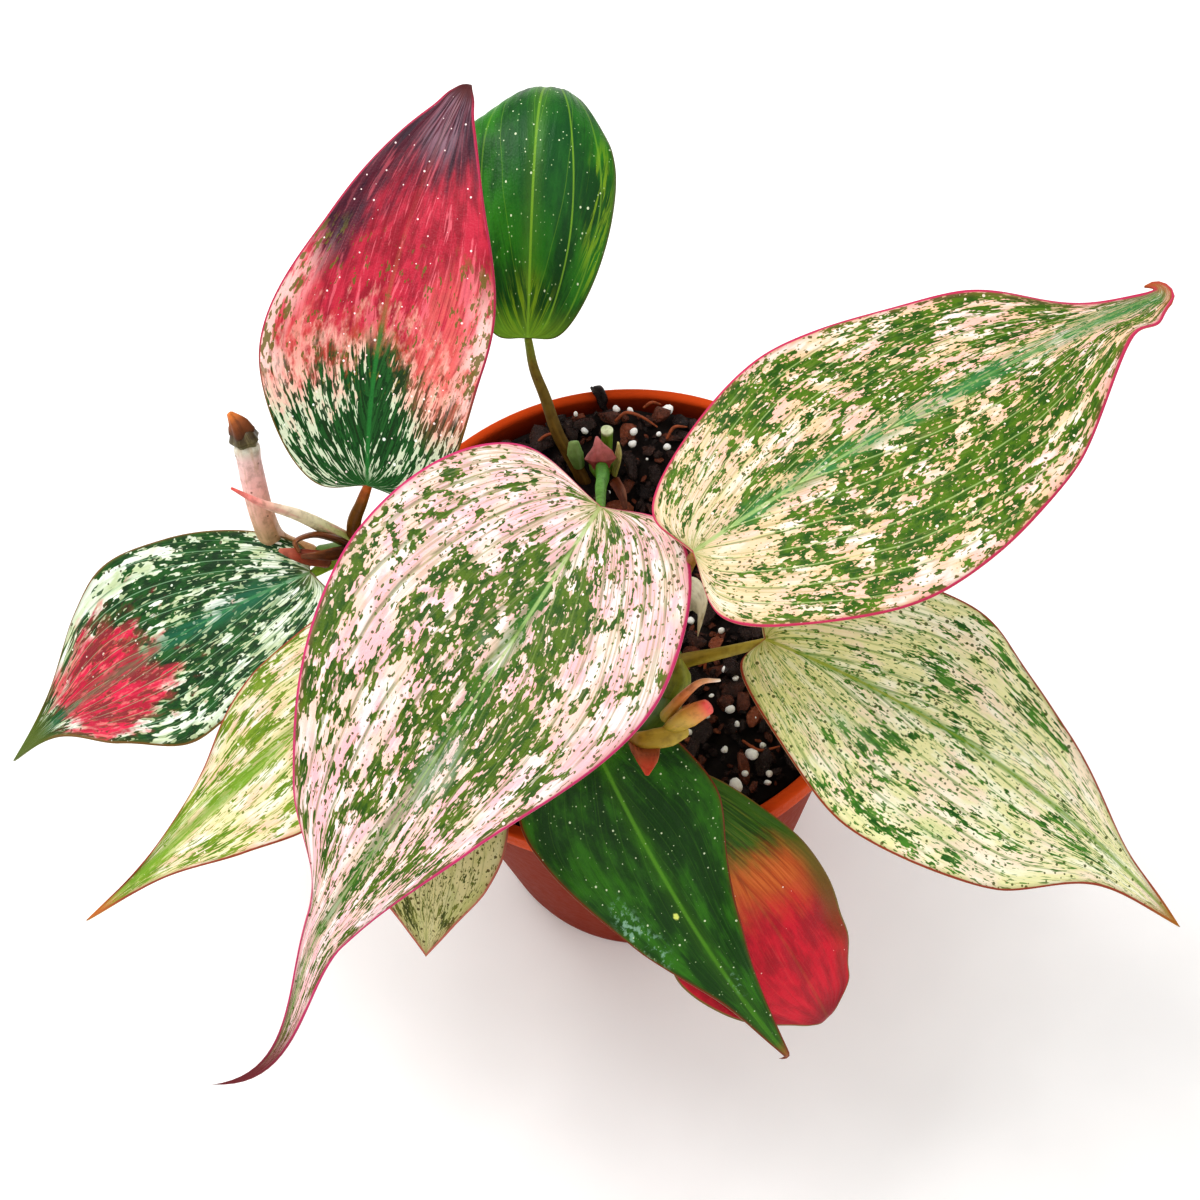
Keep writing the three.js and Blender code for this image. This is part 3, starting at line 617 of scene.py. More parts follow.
def variegated(name, half, ground, blush, blotch, deep, edge, tip, under, midrib, bias=0, scale=1, dash=0,
               blush_bias=0, rib_width=0.6, vein_color=None, length=1, sheen=None, tip_start=0.86,
               tip_blend=0.1, under_tip=None, edge_width=0.4, red=None, band=None, band_width=2.6,
               band_end=0.5, band_share=0.72, outline="#967832", white="#fffaf6", dots_share=0.5,
               vein_share=0.55, base_tone=None):
    """A pale leaf with green blotches, dashes and specks drawn out along its veins."""
    p = LeafPaint(name)
    fine = p.streak(1.9, 0.1, 2, 0.5, 21)
    patch = p.streak(0.16, 0.1, 3, 0.55, 11)
    base = p.mix(p.smooth(patch + blush_bias, 0.42, 0.6), ground, blush)
    pale = p.streak(0.3, 0.12, 3, 0.55, 17)
    base = p.mix(p.smooth(pale, 0.46, 0.66) * 0.6, base, white)
    base = p.mix(p.smooth(fine, 0.56, 0.72) * 0.22, base, white)
    base = p.mix(p.smooth(fine, 0.46, 0.32) * 0.22, base, p.mix(0.5, ground, blotch))
    red_mask = None
    if red is not None:
        red_value = p.mark - 0.45 + (p.streak(0.3, 0.2, 4, 0.6, 40) - 0.5) * 1.9
        red_mask = p.smooth(red_value, -0.22, 0.30)
        red_tone = p.mix(p.patches(0.35, 0.16, 51, 0.4, 0.6), red[0], red[1])
        rosy = p.patches(0.6, 0.3, 54, 0.52, 0.66, 3)
        red_tone = p.mix(rosy * 0.6, red_tone, "#f0968c")
        base = p.mix(red_mask, base, red_tone)
    # fine lines that fan out of the base
    near_base = p.smooth(p.run, 0.20, 0.02)
    fan = p.smooth(p.streak(1.7, 0.012, 1, 0.5, 91), 0.545, 0.6) * p.smooth(p.run, 0.46, 0.05)
    base = p.mix(fan * 0.75, base, p.mix(0.62, ground, blotch))
    if base_tone is not None:
        base = p.mix(p.smooth(p.run, 0.24, 0) * 0.45, base, base_tone)
    # blotches, with holes in them and dashes between them
    wide = p.streak(0.085, 0.065, 1, 0.5, 7.3)
    density = (wide - 0.5) * 0.5 + (p.spot * 0.1 + bias) - near_base * 0.05
    if red_mask is not None:
        density = density - red_mask * 0.1
    value = p.fragments(0.42 / scale, 0.185 / scale / length, density)
    mask = p.cut(value, 0.006)
    speck = p.streak(1.35 / scale, 0.62 / scale / length, 1, 0.5, 31, 0.3)
    open_part = p.smooth(value, 0.50, 0.40)
    dashes = p.smooth(speck - open_part * 0.025, 0.605 - dash, 0.625 - dash)
    rim = p.smooth(value, 0.478, 0.496) * 0.6
    p.color = p.mix(rim, base, outline)
    p.coat(dashes * 0.9, p.mix(0.45, blotch, deep))
    shade = p.patches(0.45, 0.25, 61, 0.38, 0.62)
    green = p.mix(shade, blotch, deep)
    green = p.mix(p.smooth(fine, 0.56, 0.75) * 0.35, green, p.mix(0.35, blotch, ground))
    holes = p.smooth(speck, 0.375, 0.355) * 0.9
    green = p.mix(holes, green, p.mix(0.2, ground, blotch))
    if red_mask is not None:
        green = p.mix(red_mask * 0.75, green, "#681e26")
    p.coat(mask, green)
    # round pale dots in the green, round dark dots in the pale
    p.coat(p.dots(0.62, 0.24, 0.55, 5) * mask, p.mix(0.5, ground, white))
    dark = p.dots(0.8, 0.27, dots_share, 9) * (1 - mask)
    p.coat(dark * 0.9, p.mix(0.4, deep, "#603c0e"))
    if sheen is not None:
        cloud = p.smooth(p.tone, 0.25, 0.75) * p.patches(0.5, 0.16, 71, 0.35, 0.6, 3)
        p.coat(cloud * 0.5, sheen)
    # the band beside the midrib, and the midrib itself
    if band is not None:
        reach = p.smooth(p.run, 0.05, 1, band_width, band_end)
        share = p.smooth(p.side / reach, 1.3, 0.2) * p.patches(0.9, 0.05, 81, 0.34, 0.5, 3)
        share = share * p.smooth(p.run, 0.02, 0.16)
        p.coat(share * band_share, band)
    rib_reach = p.smooth(p.run, 0, 0.45, rib_width, 0.26)
    p.coat(p.smooth(p.side / rib_reach, 1, 0.35) * p.smooth(p.run, 0.8, 0.1, 0.3, 0.8), midrib)
    dark_lines = p.lines(SIDE_VEINS, 0.075, half, 0.07) * p.smooth(p.streak(0.3, 0.12, 2, 0.5, 97), 0.38, 0.5)
    p.coat(dark_lines * 0.65, p.mix(0.6, deep, blotch))
    p.coat(p.lines(SIDE_VEINS, 0.05, half) * vein_share, vein_color or p.mix(0.5, blotch, ground))
    if red_mask is not None:
        p.coat(red_mask * 0.25, red[0])
    # the base turns to the midrib's colour, the edge runs round, the end takes the tip's
    near_joint = p.smooth(p.run, 0.05, -0.01) * p.smooth(p.side, 5, 1)
    p.coat(near_joint * 0.6, p.mix(0.5, midrib, "#967832"))
    p.edged(edge, edge_width, p.mix(0.5, blotch, edge))
    end = p.run + (fine - 0.5) * 0.2
    p.coat(p.smooth(end, tip_start, tip_start + tip_blend), tip)
    if under_tip is not None:
        under = p.mix(p.smooth(p.run, under_tip - 0.03, under_tip), under, tip)
    return p.surface(under)


def green_blade(name, half, dark, light, midrib, edge, under, vein_share, specks, veins=SIDE_VEINS,
                mottle=None, sheen=None, tip=None, damage=False, line_width=0.05, fans=(), rib_width=0.6):
    """A plain green leaf with paler veins and scattered white specks."""
    p = LeafPaint(name)
    fine = p.streak(1.7, 0.08, 3, 0.55, 21)
    p.color = p.mix(p.smooth(p.streak(0.16, 0.08, 4, 0.6), 0.4, 0.66), dark, light)
    p.coat(p.smooth(fine, 0.54, 0.74) * 0.4, light)
    p.coat(p.smooth(fine, 0.46, 0.28) * 0.35, p.mix(0.6, dark, "#082208"))
    if sheen is not None:
        p.coat(p.smooth(p.tone, 0.1, 0.9) * 0.6, sheen)
    if mottle is not None:
        patch = p.smooth(p.mark, 0.1, 0.7) * p.cut(p.field(1.3, 0.1, -0.03, 0.3, 31), 0.05)
        p.coat(patch * 0.6, mottle)
    p.coat(p.smooth(p.side, 3, 0) * 0.16, midrib)
    wide = p.side + p.rim
    for place, strength in fans:
        away = p.math("ABSOLUTE", p.out / wide - place) * wide
        line = p.smooth(away, 0.26, 0.06) * p.smooth(p.run, 0.95, 0.35, 0.25, 1)
        p.coat(line * strength, midrib)
    rib = p.smooth(p.side, rib_width, 0.12) * p.smooth(p.run, 1, 0.2, 0.3, 0.85)
    p.coat(rib, midrib)
    p.coat(p.lines(veins, line_width, half) * vein_share, midrib)
    p.coat(p.dots(0.6, 0.17, specks, 5), "#d6e2be")
    p.coat(p.dots(1.1, 0.11, specks, 8) * 0.7, "#bed6a0")
    p.coat(p.dots(0.16, 0.22, 0.1, 15) * 0.8, "#19190a")
    if damage:
        # Pale grey-green patches round the spots, and a yellow spot at the mark.
        grain = p.noise(p.stretch(p.flat, 0.9, 0.9), 1, 4, 0.6)
        pale_patch = p.smooth(p.spot, 0.15, 0.8) * p.smooth(grain, 0.5, 0.62)
        p.coat(pale_patch * 0.75, "#96bea5")
        p.coat(p.smooth(p.mark, 0.45, 0.75), "#e1eb78")
    p.coat(p.smooth(p.run, 0.08, -0.02) * 0.8, midrib)
    if tip is not None:
        p.coat(p.smooth(p.run, 0.9, 0.985), tip)
    p.edged(edge, 0.4, p.mix(0.6, light, edge))
    return p.surface(under, rough=0.42, gloss=0.22)


def red_blade(name, half):
    """Green and white at the base, crimson above it, and purple towards the tip."""
    p = LeafPaint(name)
    white, dark_green = "#ced8ba", "#0c3810"
    fine = p.streak(1.7, 0.07, 3, 0.55, 21)
    rough_edge = (p.streak(0.5, 0.2, 5, 0.65, 40) - 0.5) * 0.5
    place = p.run + rough_edge - p.spot * 0.1
    white = p.mix(p.smooth(place, 0.08, 0.26), white, "#f0b6a6")
    lower = p.mix(p.cut(p.fragments(0.8, 0.12, p.spot * 0.1 - 0.006), 0.012), white,
                  p.mix(p.smooth(fine, 0.35, 0.65), dark_green, "#225c24"))
    lower = p.mix(p.smooth(p.streak(1.3, 0.5, 1, 0.5, 31), 0.595, 0.62) * 0.9, lower, dark_green)
    lower = p.mix(p.dots(0.45, 0.24, 0.5, 5) * 0.9, lower, "#fafcf5")
    pink = p.mix(p.patches(0.4, 0.2, 44, 0.42, 0.58), "#f2aca0", "#be3c3c")
    crimson = p.mix(p.patches(0.4, 0.2, 47, 0.38, 0.64), "#c02c44", "#941c2e")
    purple = p.mix(p.patches(0.3, 0.16, 49, 0.36, 0.62), "#541a2c", "#321626")
    olive = "#966e32"
    p.color = p.mix(p.smooth(place, 0.2, 0.34), lower, p.mix(p.spot * 0.7, pink, olive))
    p.coat(p.smooth(place, 0.29, 0.42), crimson)
    coral = p.smooth(p.mark, 0.15, 0.8) * p.smooth(fine, 0.3, 0.6)
    p.coat(coral * 0.6, "#ea766e")
    dim = p.run + p.tone * 0.45 + (p.streak(0.25, 0.14, 4, 0.6, 53) - 0.5) * 0.6
    p.coat(p.smooth(dim, 0.72, 1.06), purple)
    streaks = p.cut(p.field(0.9, 0.12, -0.09, 0.4, 57), 0.03)
    streaks = streaks * p.smooth(p.run, 0.3, 0.42)
    p.coat(streaks * p.smooth(dim, 1.15, 0.6, 0.12, 0.6), "#ec7682")
    p.coat(p.smooth(fine, 0.45, 0.25) * 0.2, "#460c1a")
    margin_pale = p.smooth(p.rim, 6.5, 1.5) * (p.smooth(p.run, 0.6, 0.42) * p.smooth(p.run, 0.16, 0.24))
    margin_pale = margin_pale * p.patches(0.6, 0.16, 59, 0.4, 0.54)
    p.coat(margin_pale * 0.8, "#fad0c8")
    olive_bits = p.cut(p.fragments(0.75, 0.34, p.smooth(p.rim, 8, 1) * 0.085 - 0.115, 33), 0.01)
    olive_bits = olive_bits * (p.smooth(p.run, 0.64, 0.54) * p.smooth(p.run, 0.2, 0.26))
    p.coat(olive_bits * 0.9, "#686222")
    # Painted sheen: a grey-pink gloss over the purple towards the tip, near the midrib.
    painted_tip_sheen = p.smooth(p.run, 0.74, 0.86) * p.smooth(p.run, 0.99, 0.94) * p.smooth(p.side, 6, 1)
    painted_tip_sheen = painted_tip_sheen * p.patches(0.5, 0.1, 63, 0.38, 0.6, 3)
    p.coat(painted_tip_sheen * 0.6, "#a88492")
    p.coat(p.dots(0.55, 0.19, 0.7, 15), "#fae2de")
    rib_color = p.mix(p.smooth(p.run, 0.32, 0.48), "#287832", "#a05a3c")
    rib = p.smooth(p.side, 0.65, 0.2) * p.smooth(p.run, 0.7, 0.35, 0.1, 0.8)
    p.coat(rib, rib_color)
    p.coat(p.lines(SIDE_VEINS, 0.022, half) * 0.25, p.mix(p.smooth(p.run, 0.3, 0.45), dark_green, "#ec6e78"))
    p.coat(p.smooth(p.run, 0.07, -0.02) * p.smooth(p.side, 6, 1.5) * 0.8, "#1e5a1e")
    edge = p.mix(p.smooth(p.run, 0.12, 0.35), "#786028", "#b02c4e")
    p.edged(edge, 0.42)
    p.coat(p.smooth(p.run, 0.93, 0.99), "#522222")
    return p.surface("#aa5a5a", rough=0.44, gloss=0.24)


def blushed_blade(name, half):
    """Green at the base, then orange, then crimson, with an olive margin."""
    p = LeafPaint(name)
    fine = p.streak(1.7, 0.07, 3, 0.55, 21)
    place = p.run + (p.streak(0.25, 0.1, 4, 0.6, 40) - 0.5) * 0.22 - p.out * 0.006
    green = p.mix(p.smooth(fine, 0.35, 0.65), "#224a10", "#4c761c")
    orange = p.mix(p.smooth(fine, 0.35, 0.65), "#be541e", "#d67432")
    red = p.mix(p.patches(0.25, 0.12, 47, 0.36, 0.64), "#d01630", "#a80f24")
    p.color = p.mix(p.smooth(place, 0.23, 0.38), green, orange)
    p.coat(p.smooth(place, 0.38, 0.58), red)
    p.coat(p.smooth(fine, 0.55, 0.78) * 0.18, "#ec6e60")
    p.coat(p.smooth(fine, 0.45, 0.25) * 0.22, "#5a0a10")
    p.coat(p.smooth(p.tone, 0.2, 0.9) * 0.7, "#782c16")
    band = p.smooth(p.rim, 4.5, 1) * p.smooth(p.run, 0.95, 0.6) * p.smooth(p.out, -6, 2)
    p.coat(band * 0.8, p.mix(p.smooth(p.run, 0.3, 0.8), "#466e1e", "#82461e"))
    p.coat(p.smooth(p.run, 0.86, 0.97) * 0.8, "#7a0a16")
    p.coat(p.dots(0.4, 0.14, 0.62, 15), "#fae1d7")
    p.coat(p.dots(0.16, 0.24, 0.12, 25) * 0.8, "#280f0a")
    p.coat(p.smooth(p.side, 0.5, 0.15) * 0.25, "#8c5a28")
    p.coat(p.lines(SIDE_VEINS, 0.022, half) * 0.14, "#dc6e46")
    p.edged("#78601e", 0.4)
    return p.surface("#961e2c", rough=0.42, gloss=0.24)


LEAF_LOOKS = {
    "front_leaf": dict(
        paint=variegated, ground="#f0ccbc", blush="#f4b8be", blotch="#546e16", deep="#2c500e",
        edge="#c43a6c", tip="#682228", under="#c4968c", midrib="#a0ba74", bias=-0.032, scale=0.92,
        band="#326c22", blush_bias=0.03, vein_color="#788c42", sheen="#b0beaa", tip_start=0.81,
        tip_blend=0.13, band_width=3.2, band_end=0.6, edge_width=0.58,
        spots=[(20, 3, 18, 7, 0.8), (26, -9, 12, 6, 0.6), (42, 9, 12, 6, 0.7), (22, 12, 8, 6, 0.6),
               (54, -8, 14, 6, 0.5), (0, -14, 12, 9, 0.2), (8, 22, 12, 9, -1.1), (25, 25, 16, 7, -0.9),
               (82, -4, 18, 8, -0.4), (62, -17, 14, 7, -0.5), (44, 0, 14, 8, 0.4)],
        tones=[(56, 2, 9, 4, 1), (30, -5, 6, 3, 0.5)]),
    "right_leaf": dict(
        paint=variegated, ground="#eec6a0", blush="#f4beb0", blotch="#547614", deep="#28520c",
        edge="#c2365c", tip="#a85420", under="#c4b482", midrib="#9eba74", scale=0.74, band="#428a52",
        vein_color="#bed08c", tip_start=0.958, tip_blend=0.02, band_width=2.4, band_end=2.4,
        vein_share=0.5, under_tip=0.95, band_share=0.7, base_tone="#dacca0", edge_width=0.52,
        spots=[(42, 12, 22, 7, 0.4), (76, 6, 20, 10, 0.3), (64, -13, 18, 6, 0.1), (2, -14, 14, 10, -0.7),
               (3, 3, 12, 9, -0.5), (40, -17, 22, 10, 1), (26, 7, 10, 4, -0.4), (60, -4, 16, 5, 0.2)]),
    "lower_right_leaf": dict(
        paint=variegated, ground="#e8e4ac", blush="#f6e2c6", blotch="#4e862c", deep="#245816",
        edge="#963e28", tip="#aa6c1e", under="#c4c28c", midrib="#96a032", bias=-0.1, scale=0.55,
        dash=0.014, blush_bias=-0.03, length=1.6, vein_color="#789c42", rib_width=0.5, tip_start=0.9,
        sheen="#8cb878", band="#60963c", band_width=1.2, dots_share=0.7, white="#fcfae8",
        base_tone="#b2b054",
        spots=[(36, 8, 16, 3, 0.1), (22, -10, 14, 5, 0.4), (60, 6, 16, 4, 0.3), (38, -24, 22, 3, 0.6),
               (20, 1, 24, 3, -0.5), (76, 0, 16, 8, -0.2)],
        tones=[(20, -9, 14, 5, 0.6), (45, -20, 20, 4, 0.5)]),
    "red_leaf": dict(
        paint=red_blade, spots=[(17, 0, 17, 5.4, 1.4), (10, -8, 9, 5, 0.3), (8, 9, 9, 5, 0.3)],
        marks=[(26, -17, 16, 9, 1), (36, -12, 14, 6, 0.4), (30, 17, 16, 5, 0.6)],
        tones=[(50, 14, 20, 9, 1), (76, 0, 12, 10, 1)]),
    "back_leaf": dict(
        paint=green_blade, dark="#0e440e", light="#2e7616", midrib="#80ac32",
        fans=((-0.5, 0.8), (-0.82, 0.5), (0.66, 0.35)), rib_width=0.36, edge="#4e5c0e", under="#648242",
        veins=1.7, vein_share=0.3, line_width=0.016, mottle="#96b822", sheen="#1e582c", specks=0.75,
        marks=[(14, -13, 16, 3, 0.8), (3, 0, 6, 6, 0.7)], tones=[(26, -2, 16, 10, 1)]),
    "left_leaf": dict(
        paint=variegated, ground="#becca0", blush="#dee6d4", blotch="#1c541a", deep="#0a300e",
        edge="#745422", tip="#54641e", under="#9ca07c", midrib="#3c8250", bias=0.044, scale=1.2,
        band="#1c684a", blush_bias=0.02, vein_color="#96be96", red=("#d0244a", "#96142a"), tip_start=0.8,
        length=1.2, dots_share=0.3, band_width=3.6, band_end=1, outline="#6e7832", white="#f4f8f2",
        spots=[(26, -9, 14, 6, 0.6), (46, -17, 9, 5, -0.6), (20, 8, 14, 4, 0.4), (12, -16, 8, 5, 0.3),
               (40, -8, 8, 5, 0.3), (32, 20, 10, 4, -0.2)],
        marks=[(52, -4, 12, 9, 1.25), (46, 8, 12, 7, 1.15)]),
    "lower_left_leaf": dict(
        paint=variegated, ground="#e2d6a4", blush="#eec8aa", blotch="#7a9422", deep="#587c14",
        edge="#96422e", tip="#b86824", under="#beb46e", midrib="#82a63a", bias=-0.062, scale=0.55,
        dash=0.01, length=2.4, vein_color="#96ac3c", sheen="#88b038", dots_share=0.15, band="#78a032",
        outline="#aaa446", spots=[(44, -1, 24, 2.5, 0.7), (74, 1, 12, 5, 1.4)],
        tones=[(52, -1, 22, 2.5, 1), (74, 1, 11, 5, 1.2)]),
    "under_leaf": dict(
        paint=variegated, ground="#cec490", blush="#b8b674", blotch="#70762c", deep="#3c4410",
        edge="#b46454", tip="#a08c46", under="#aaa06e", midrib="#788242", bias=-0.1, scale=0.55,
        tip_start=0.97, dots_share=0.85, outline="#8c8c46", white="#c8c496"),
    "green_leaf": dict(
        paint=green_blade, dark="#164204", light="#367410", midrib="#609c22", edge="#783410",
        under="#607432", vein_share=0.14, tip="#b85032", damage=True, specks=0.6,
        spots=[(31, -11, 6, 2.5, 0.8), (39, -9, 5, 3, 0.8), (55, 1, 4, 1.5, 0.6)],
        marks=[(36, -1.9, 1, 0.8, 1)]),
    "blushed_leaf": dict(paint=blushed_blade, tones=[(40, 13, 14, 6, 0.8)]),
}
AREAS = ("spots", "marks", "tones")
BLADE_SEED = 3

for number, (leaf_name, look) in enumerate(LEAF_LOOKS.items()):
    leaf = LEAVES[leaf_name]
    areas = [look.pop(key, ()) for key in AREAS]
    skin = look.pop("paint")(f"{leaf_name}_skin", half_width(leaf), **look)
    blade = blade_piece(f"{leaf_name}_fine", leaf, skin, number + BLADE_SEED, areas)
    stand_in(blade, f"{leaf_name}_blade")


# Stems and shoots

def curve_points(points, count):
    """Centripetal Catmull-Rom curve through the points, evenly spread in its own parameter."""
    p = np.array(points, dtype=float)
    ends = np.vstack([2 * p[0] - p[1], p, 2 * p[-1] - p[-2]])
    spans = len(p) - 1
    out = []
    for place in np.linspace(0, spans, count):
        i = min(int(place), spans - 1)
        w = place - i
        a, b, c, d = ends[i:i + 4]
        first, middle, last = (max(np.linalg.norm(step) ** 0.5, 1e-4) for step in (b - a, c - b, d - c))
        m1 = middle * ((b - a) / first - (c - a) / (first + middle) + (c - b) / middle)
        m2 = middle * ((c - b) / middle - (d - b) / (middle + last) + (d - c) / last)
        out.append((2 * w ** 3 - 3 * w ** 2 + 1) * b + (w ** 3 - 2 * w ** 2 + w) * m1
                   + (3 * w ** 2 - 2 * w ** 3) * c + (w ** 3 - w ** 2) * m2)
    return np.array(out)


CAP_RINGS = 4
STEM_WELD = 0.01


def tube_piece(name, points, radii, material, flat=1, wide=(1, 0, 0.01), sides=28, steps=48, ridges=0,
               ridge=0, knots=(), cap=0.6, bend=0, seed=1):
    """A stalk along a curve, with lengthwise ridges, swollen knots and rounded ends.

    knots are (share along, extra radius, reach); bend hollows a flat stalk towards one side.
    """
    line = curve_points(points, steps + 1)
    length = np.concatenate([[0], np.cumsum(np.linalg.norm(np.diff(line, axis=0), axis=1))])
    share = length / length[-1]
    reach = np.interp(np.linspace(0, 1, steps + 1), np.linspace(0, 1, len(radii)), radii)
    tangent = units(np.gradient(line, axis=0))
    side = unit(wide)
    phases = np.random.default_rng(seed).uniform(0, 6.28, 4)
    turns = np.linspace(0, math.pi / 2, CAP_RINGS + 1)[:-1]
    order = ([(0, -math.cos(a), math.sin(a)) for a in turns] + [(i, 0, 1) for i in range(steps + 1)]
             + [(steps, math.cos(a), math.sin(a)) for a in turns[::-1]])
    angles = FULL_TURN * np.arange(sides) / sides
    rings, places = [], []
    last = -1
    for i, push, shrink in order:
        if i != last:
            side = unit(side - tangent[i] * side.dot(tangent[i]))
            other = np.cross(tangent[i], side)
            last = i
        radius = reach[i] + sum(extra * math.exp(-((share[i] - where) / span) ** 2)
                                for where, extra, span in knots)
        lumps = 1 + ridge * np.sin(ridges * angles + phases[0])
        lumps = lumps * (1 + 0.03 * np.sin(3 * angles + phases[1] + length[i] * 0.25))
        a = np.cos(angles) * radius * shrink * lumps
        b = np.sin(angles) * radius * flat * shrink * lumps
        b = b + bend * (a / max(radius, 0.01)) ** 2 * radius * shrink
        centre = line[i] + tangent[i] * push * cap * reach[i]
        rings.append(centre + a[:, None] * side + b[:, None] * other)
        places.append(np.stack([np.full(sides, length[i] + push * cap * reach[i]),
                                np.cos(angles) * radius, np.sin(angles) * radius], -1))
    faces = []
    end = (len(rings) - 1) * sides
    for a in range(0, end, sides):
        for j in range(sides):
            k = (j + 1) % sides
            faces.append((a + j, a + k, a + sides + k, a + sides + j))
    faces += [tuple(range(sides - 1, -1, -1)), tuple(range(end, end + sides))]
    piece = make_object(name, np.concatenate(rings), faces, material)
    places = np.concatenate(places)
    add_vector(piece, "stem", places)
    add_float(piece, "share", clip01(places[:, 0] / length[-1]))
    weld(piece, STEM_WELD)
    return piece


def stem_skin(name, stops, streak, streak_share=0.4, spots=None, spot_share=0.25, rough=0.42, gloss=0.4):
    """Plant skin: colours along the stem, lengthwise streaks, a few spots and a fine grain."""
    p = Paint(name)
    place = p.attr("stem")

    def scaled(along, across, shift=0):
        return p.moved(place, (along, across, across), (shift, shift, shift))

    long = p.noise(scaled(0.1, 0.9), 1, 4, 0.6)
    mottled = p.noise(scaled(0.6, 0.6, 9), 1, 4, 0.6)
    p.color = p.ramp(p.attr("share", "Fac"), stops)
    darker = p.mix(1, p.color, "#968c78", "MULTIPLY")
    p.coat(p.smooth(mottled, 0.42, 0.7) * 0.45, darker)
    p.coat(p.smooth(long, 0.5, 0.66) * streak_share, streak)
    if spots is not None:
        distance, tint = p.cells(scaled(0.55, 0.55, 3))
        pick, size, _ = p.split(tint)
        dot = p.smooth(distance, size * 0.16 + 0.1, 0.05) * p.smooth(pick, spot_share, spot_share - 0.03)
        p.coat(dot * 0.85, spots)
    height = long * 0.8 + p.noise(scaled(2, 2.5), 1, 2) * 0.3
    uneven = p.clamp((mottled - 0.5) * 0.3 + rough)
    return p.finish(uneven, p.bump(height, 0.3, 0.0004), Specular_IOR_Level=gloss)


VINE_SKIN = stem_skin("vine_skin", {0: "#604c24", 0.5: "#50681a", 1: "#54781a"}, streak="#8c783c",
                      spots="#5a3c1e")
VINES = {
    "front_vine": dict(
        points=[(2, 2, 72), (2, 0, 88), (4, -10, 106), (7, -22, 119), (7.5, -31, 125), (5, -38, 127),
                (1.5, -42, 127.5)], radii=[2.6, 2.6, 2.4, 2.3, 2.2],
        knots=[(0.45, 0.4, 0.03), (0.72, 0.5, 0.03), (0.97, 0.3, 0.04)], steps=90),
    "back_vine": dict(
        points=[(-0.5, 38.5, 74), (-0.5, 38.5, 90), (-0.5, 35, 98), (-0.5, 29.5, 104.5)],
        radii=[2.3, 2.3, 2.2, 2.2], knots=[(0.9, 0.35, 0.05)], steps=50),
    "left_vine": dict(
        points=[(-35.5, 16.5, 72), (-39.5, 13.5, 92), (-45, 13, 103), (-52, 16, 106.5),
                (-58.5, 17.5, 104.6)], radii=[2.6, 2.6, 2.5, 2.2],
        knots=[(0.55, 0.4, 0.03), (0.85, 0.5, 0.05)], steps=70),
}
for name, vine in VINES.items():
    piece = tube_piece(f"{name}_fine", material=VINE_SKIN, ridges=7, ridge=0.02, **vine)
    stand_in(piece, name)

PETIOLES = {
    "front_leaf": dict(
        points=[(-0.5, 29.6, 104.8), (-0.5, 24.9, 112), (-0.6, 17.3, 122), (-1.3, 4.2, 141)],
        radii=[1.15, 1.3, 1.35, 1.25, 1.05, 0.8], gloss=0.06,
        stops={0: "#386c18", 0.5: "#427c1e", 1: "#5c8826"}, streak="#68a234"),
    "right_leaf": dict(
        points=[(5.5, -13, 109), (9, -18, 135), (12, -23, 155)],
        stops={0: "#786e28", 0.6: "#7e5a22", 1: "#8c6428"}, streak="#aa823c"),
    "lower_right_leaf": dict(
        points=[(7, -25, 121), (10.5, -28.5, 129.5), (16, -30, 133.5)],
        stops={0: "#82781e", 0.5: "#968228", 1: "#b0a046"}, streak="#beaa46"),
    "red_leaf": dict(
        points=[(-51, 16, 106.5), (-50.5, 18, 115), (-48, 18.5, 122)],
        stops={0: "#644214", 0.7: "#7a4e18", 1: "#d66e28"}, streak="#a06e28"),
    "back_leaf": dict(
        points=[(-2, 29, 76), (-2.5, 30.5, 87), (-5, 33.5, 97), (-8.5, 39, 105), (-10, 45, 109.5),
                (-11.5, 50, 113)], stops={0: "#5a3c1a", 0.5: "#6c4e1c", 0.9: "#786824", 1: "#789632"},
        streak="#927430"),
    "left_leaf": dict(
        points=[(-53, 16, 106.5), (-56.5, 13, 109)], stops={0: "#788c28", 0.5: "#8ab02c", 1: "#96be3c"},
        streak="#b4d25a"),
    "lower_left_leaf": dict(
        points=[(-39.5, 13.5, 91.5), (-39.5, 5, 105), (-42, -6, 116)], stops={0: "#6e6428", 1: "#96a046"},
        streak="#aaaa5a"),
    "under_leaf": dict(
        points=[(2.5, -2, 94), (-10, -7, 107), (-24, -15, 114)], stops={0: "#6e6428", 1: "#969646"},
        streak="#aaaa5a"),
    "green_leaf": dict(
        points=[(7, -24, 120.5), (1, -28, 122.5), (-5, -33, 121.5)], stops={0: "#6e7828", 1: "#649632"},
        streak="#96aa50"),
    "blushed_leaf": dict(
        points=[(4.5, -12, 106.5), (6.5, -24, 110.5), (5, -35, 109)], stops={0: "#786e28", 1: "#78822e"},
        streak="#a0a050"),
}
PETIOLE_RADII = [1.7, 1.5, 1.35, 1.2, 1.05, 0.8]
JOINT_AHEAD = 0.6
JOINT_BELOW = 0.85
for leaf_name, petiole in PETIOLES.items():
    base, along, _, up, _ = leaf_axes(LEAVES[leaf_name])
    points = petiole["points"] + [base + JOINT_AHEAD * along - JOINT_BELOW * up]
    skin = stem_skin(f"{leaf_name}_petiole_skin", petiole["stops"], petiole["streak"], spots="#5a3c1a",
                     spot_share=0.15, rough=0.5, gloss=petiole.get("gloss", 0.2))
    piece = tube_piece(f"{leaf_name}_petiole_fine", points, petiole.get("radii", PETIOLE_RADII), skin,
                       sides=24, steps=64, ridges=5, ridge=0.03, knots=[(0.02, 0.2, 0.05)])
    stand_in(piece, f"{leaf_name}_petiole")

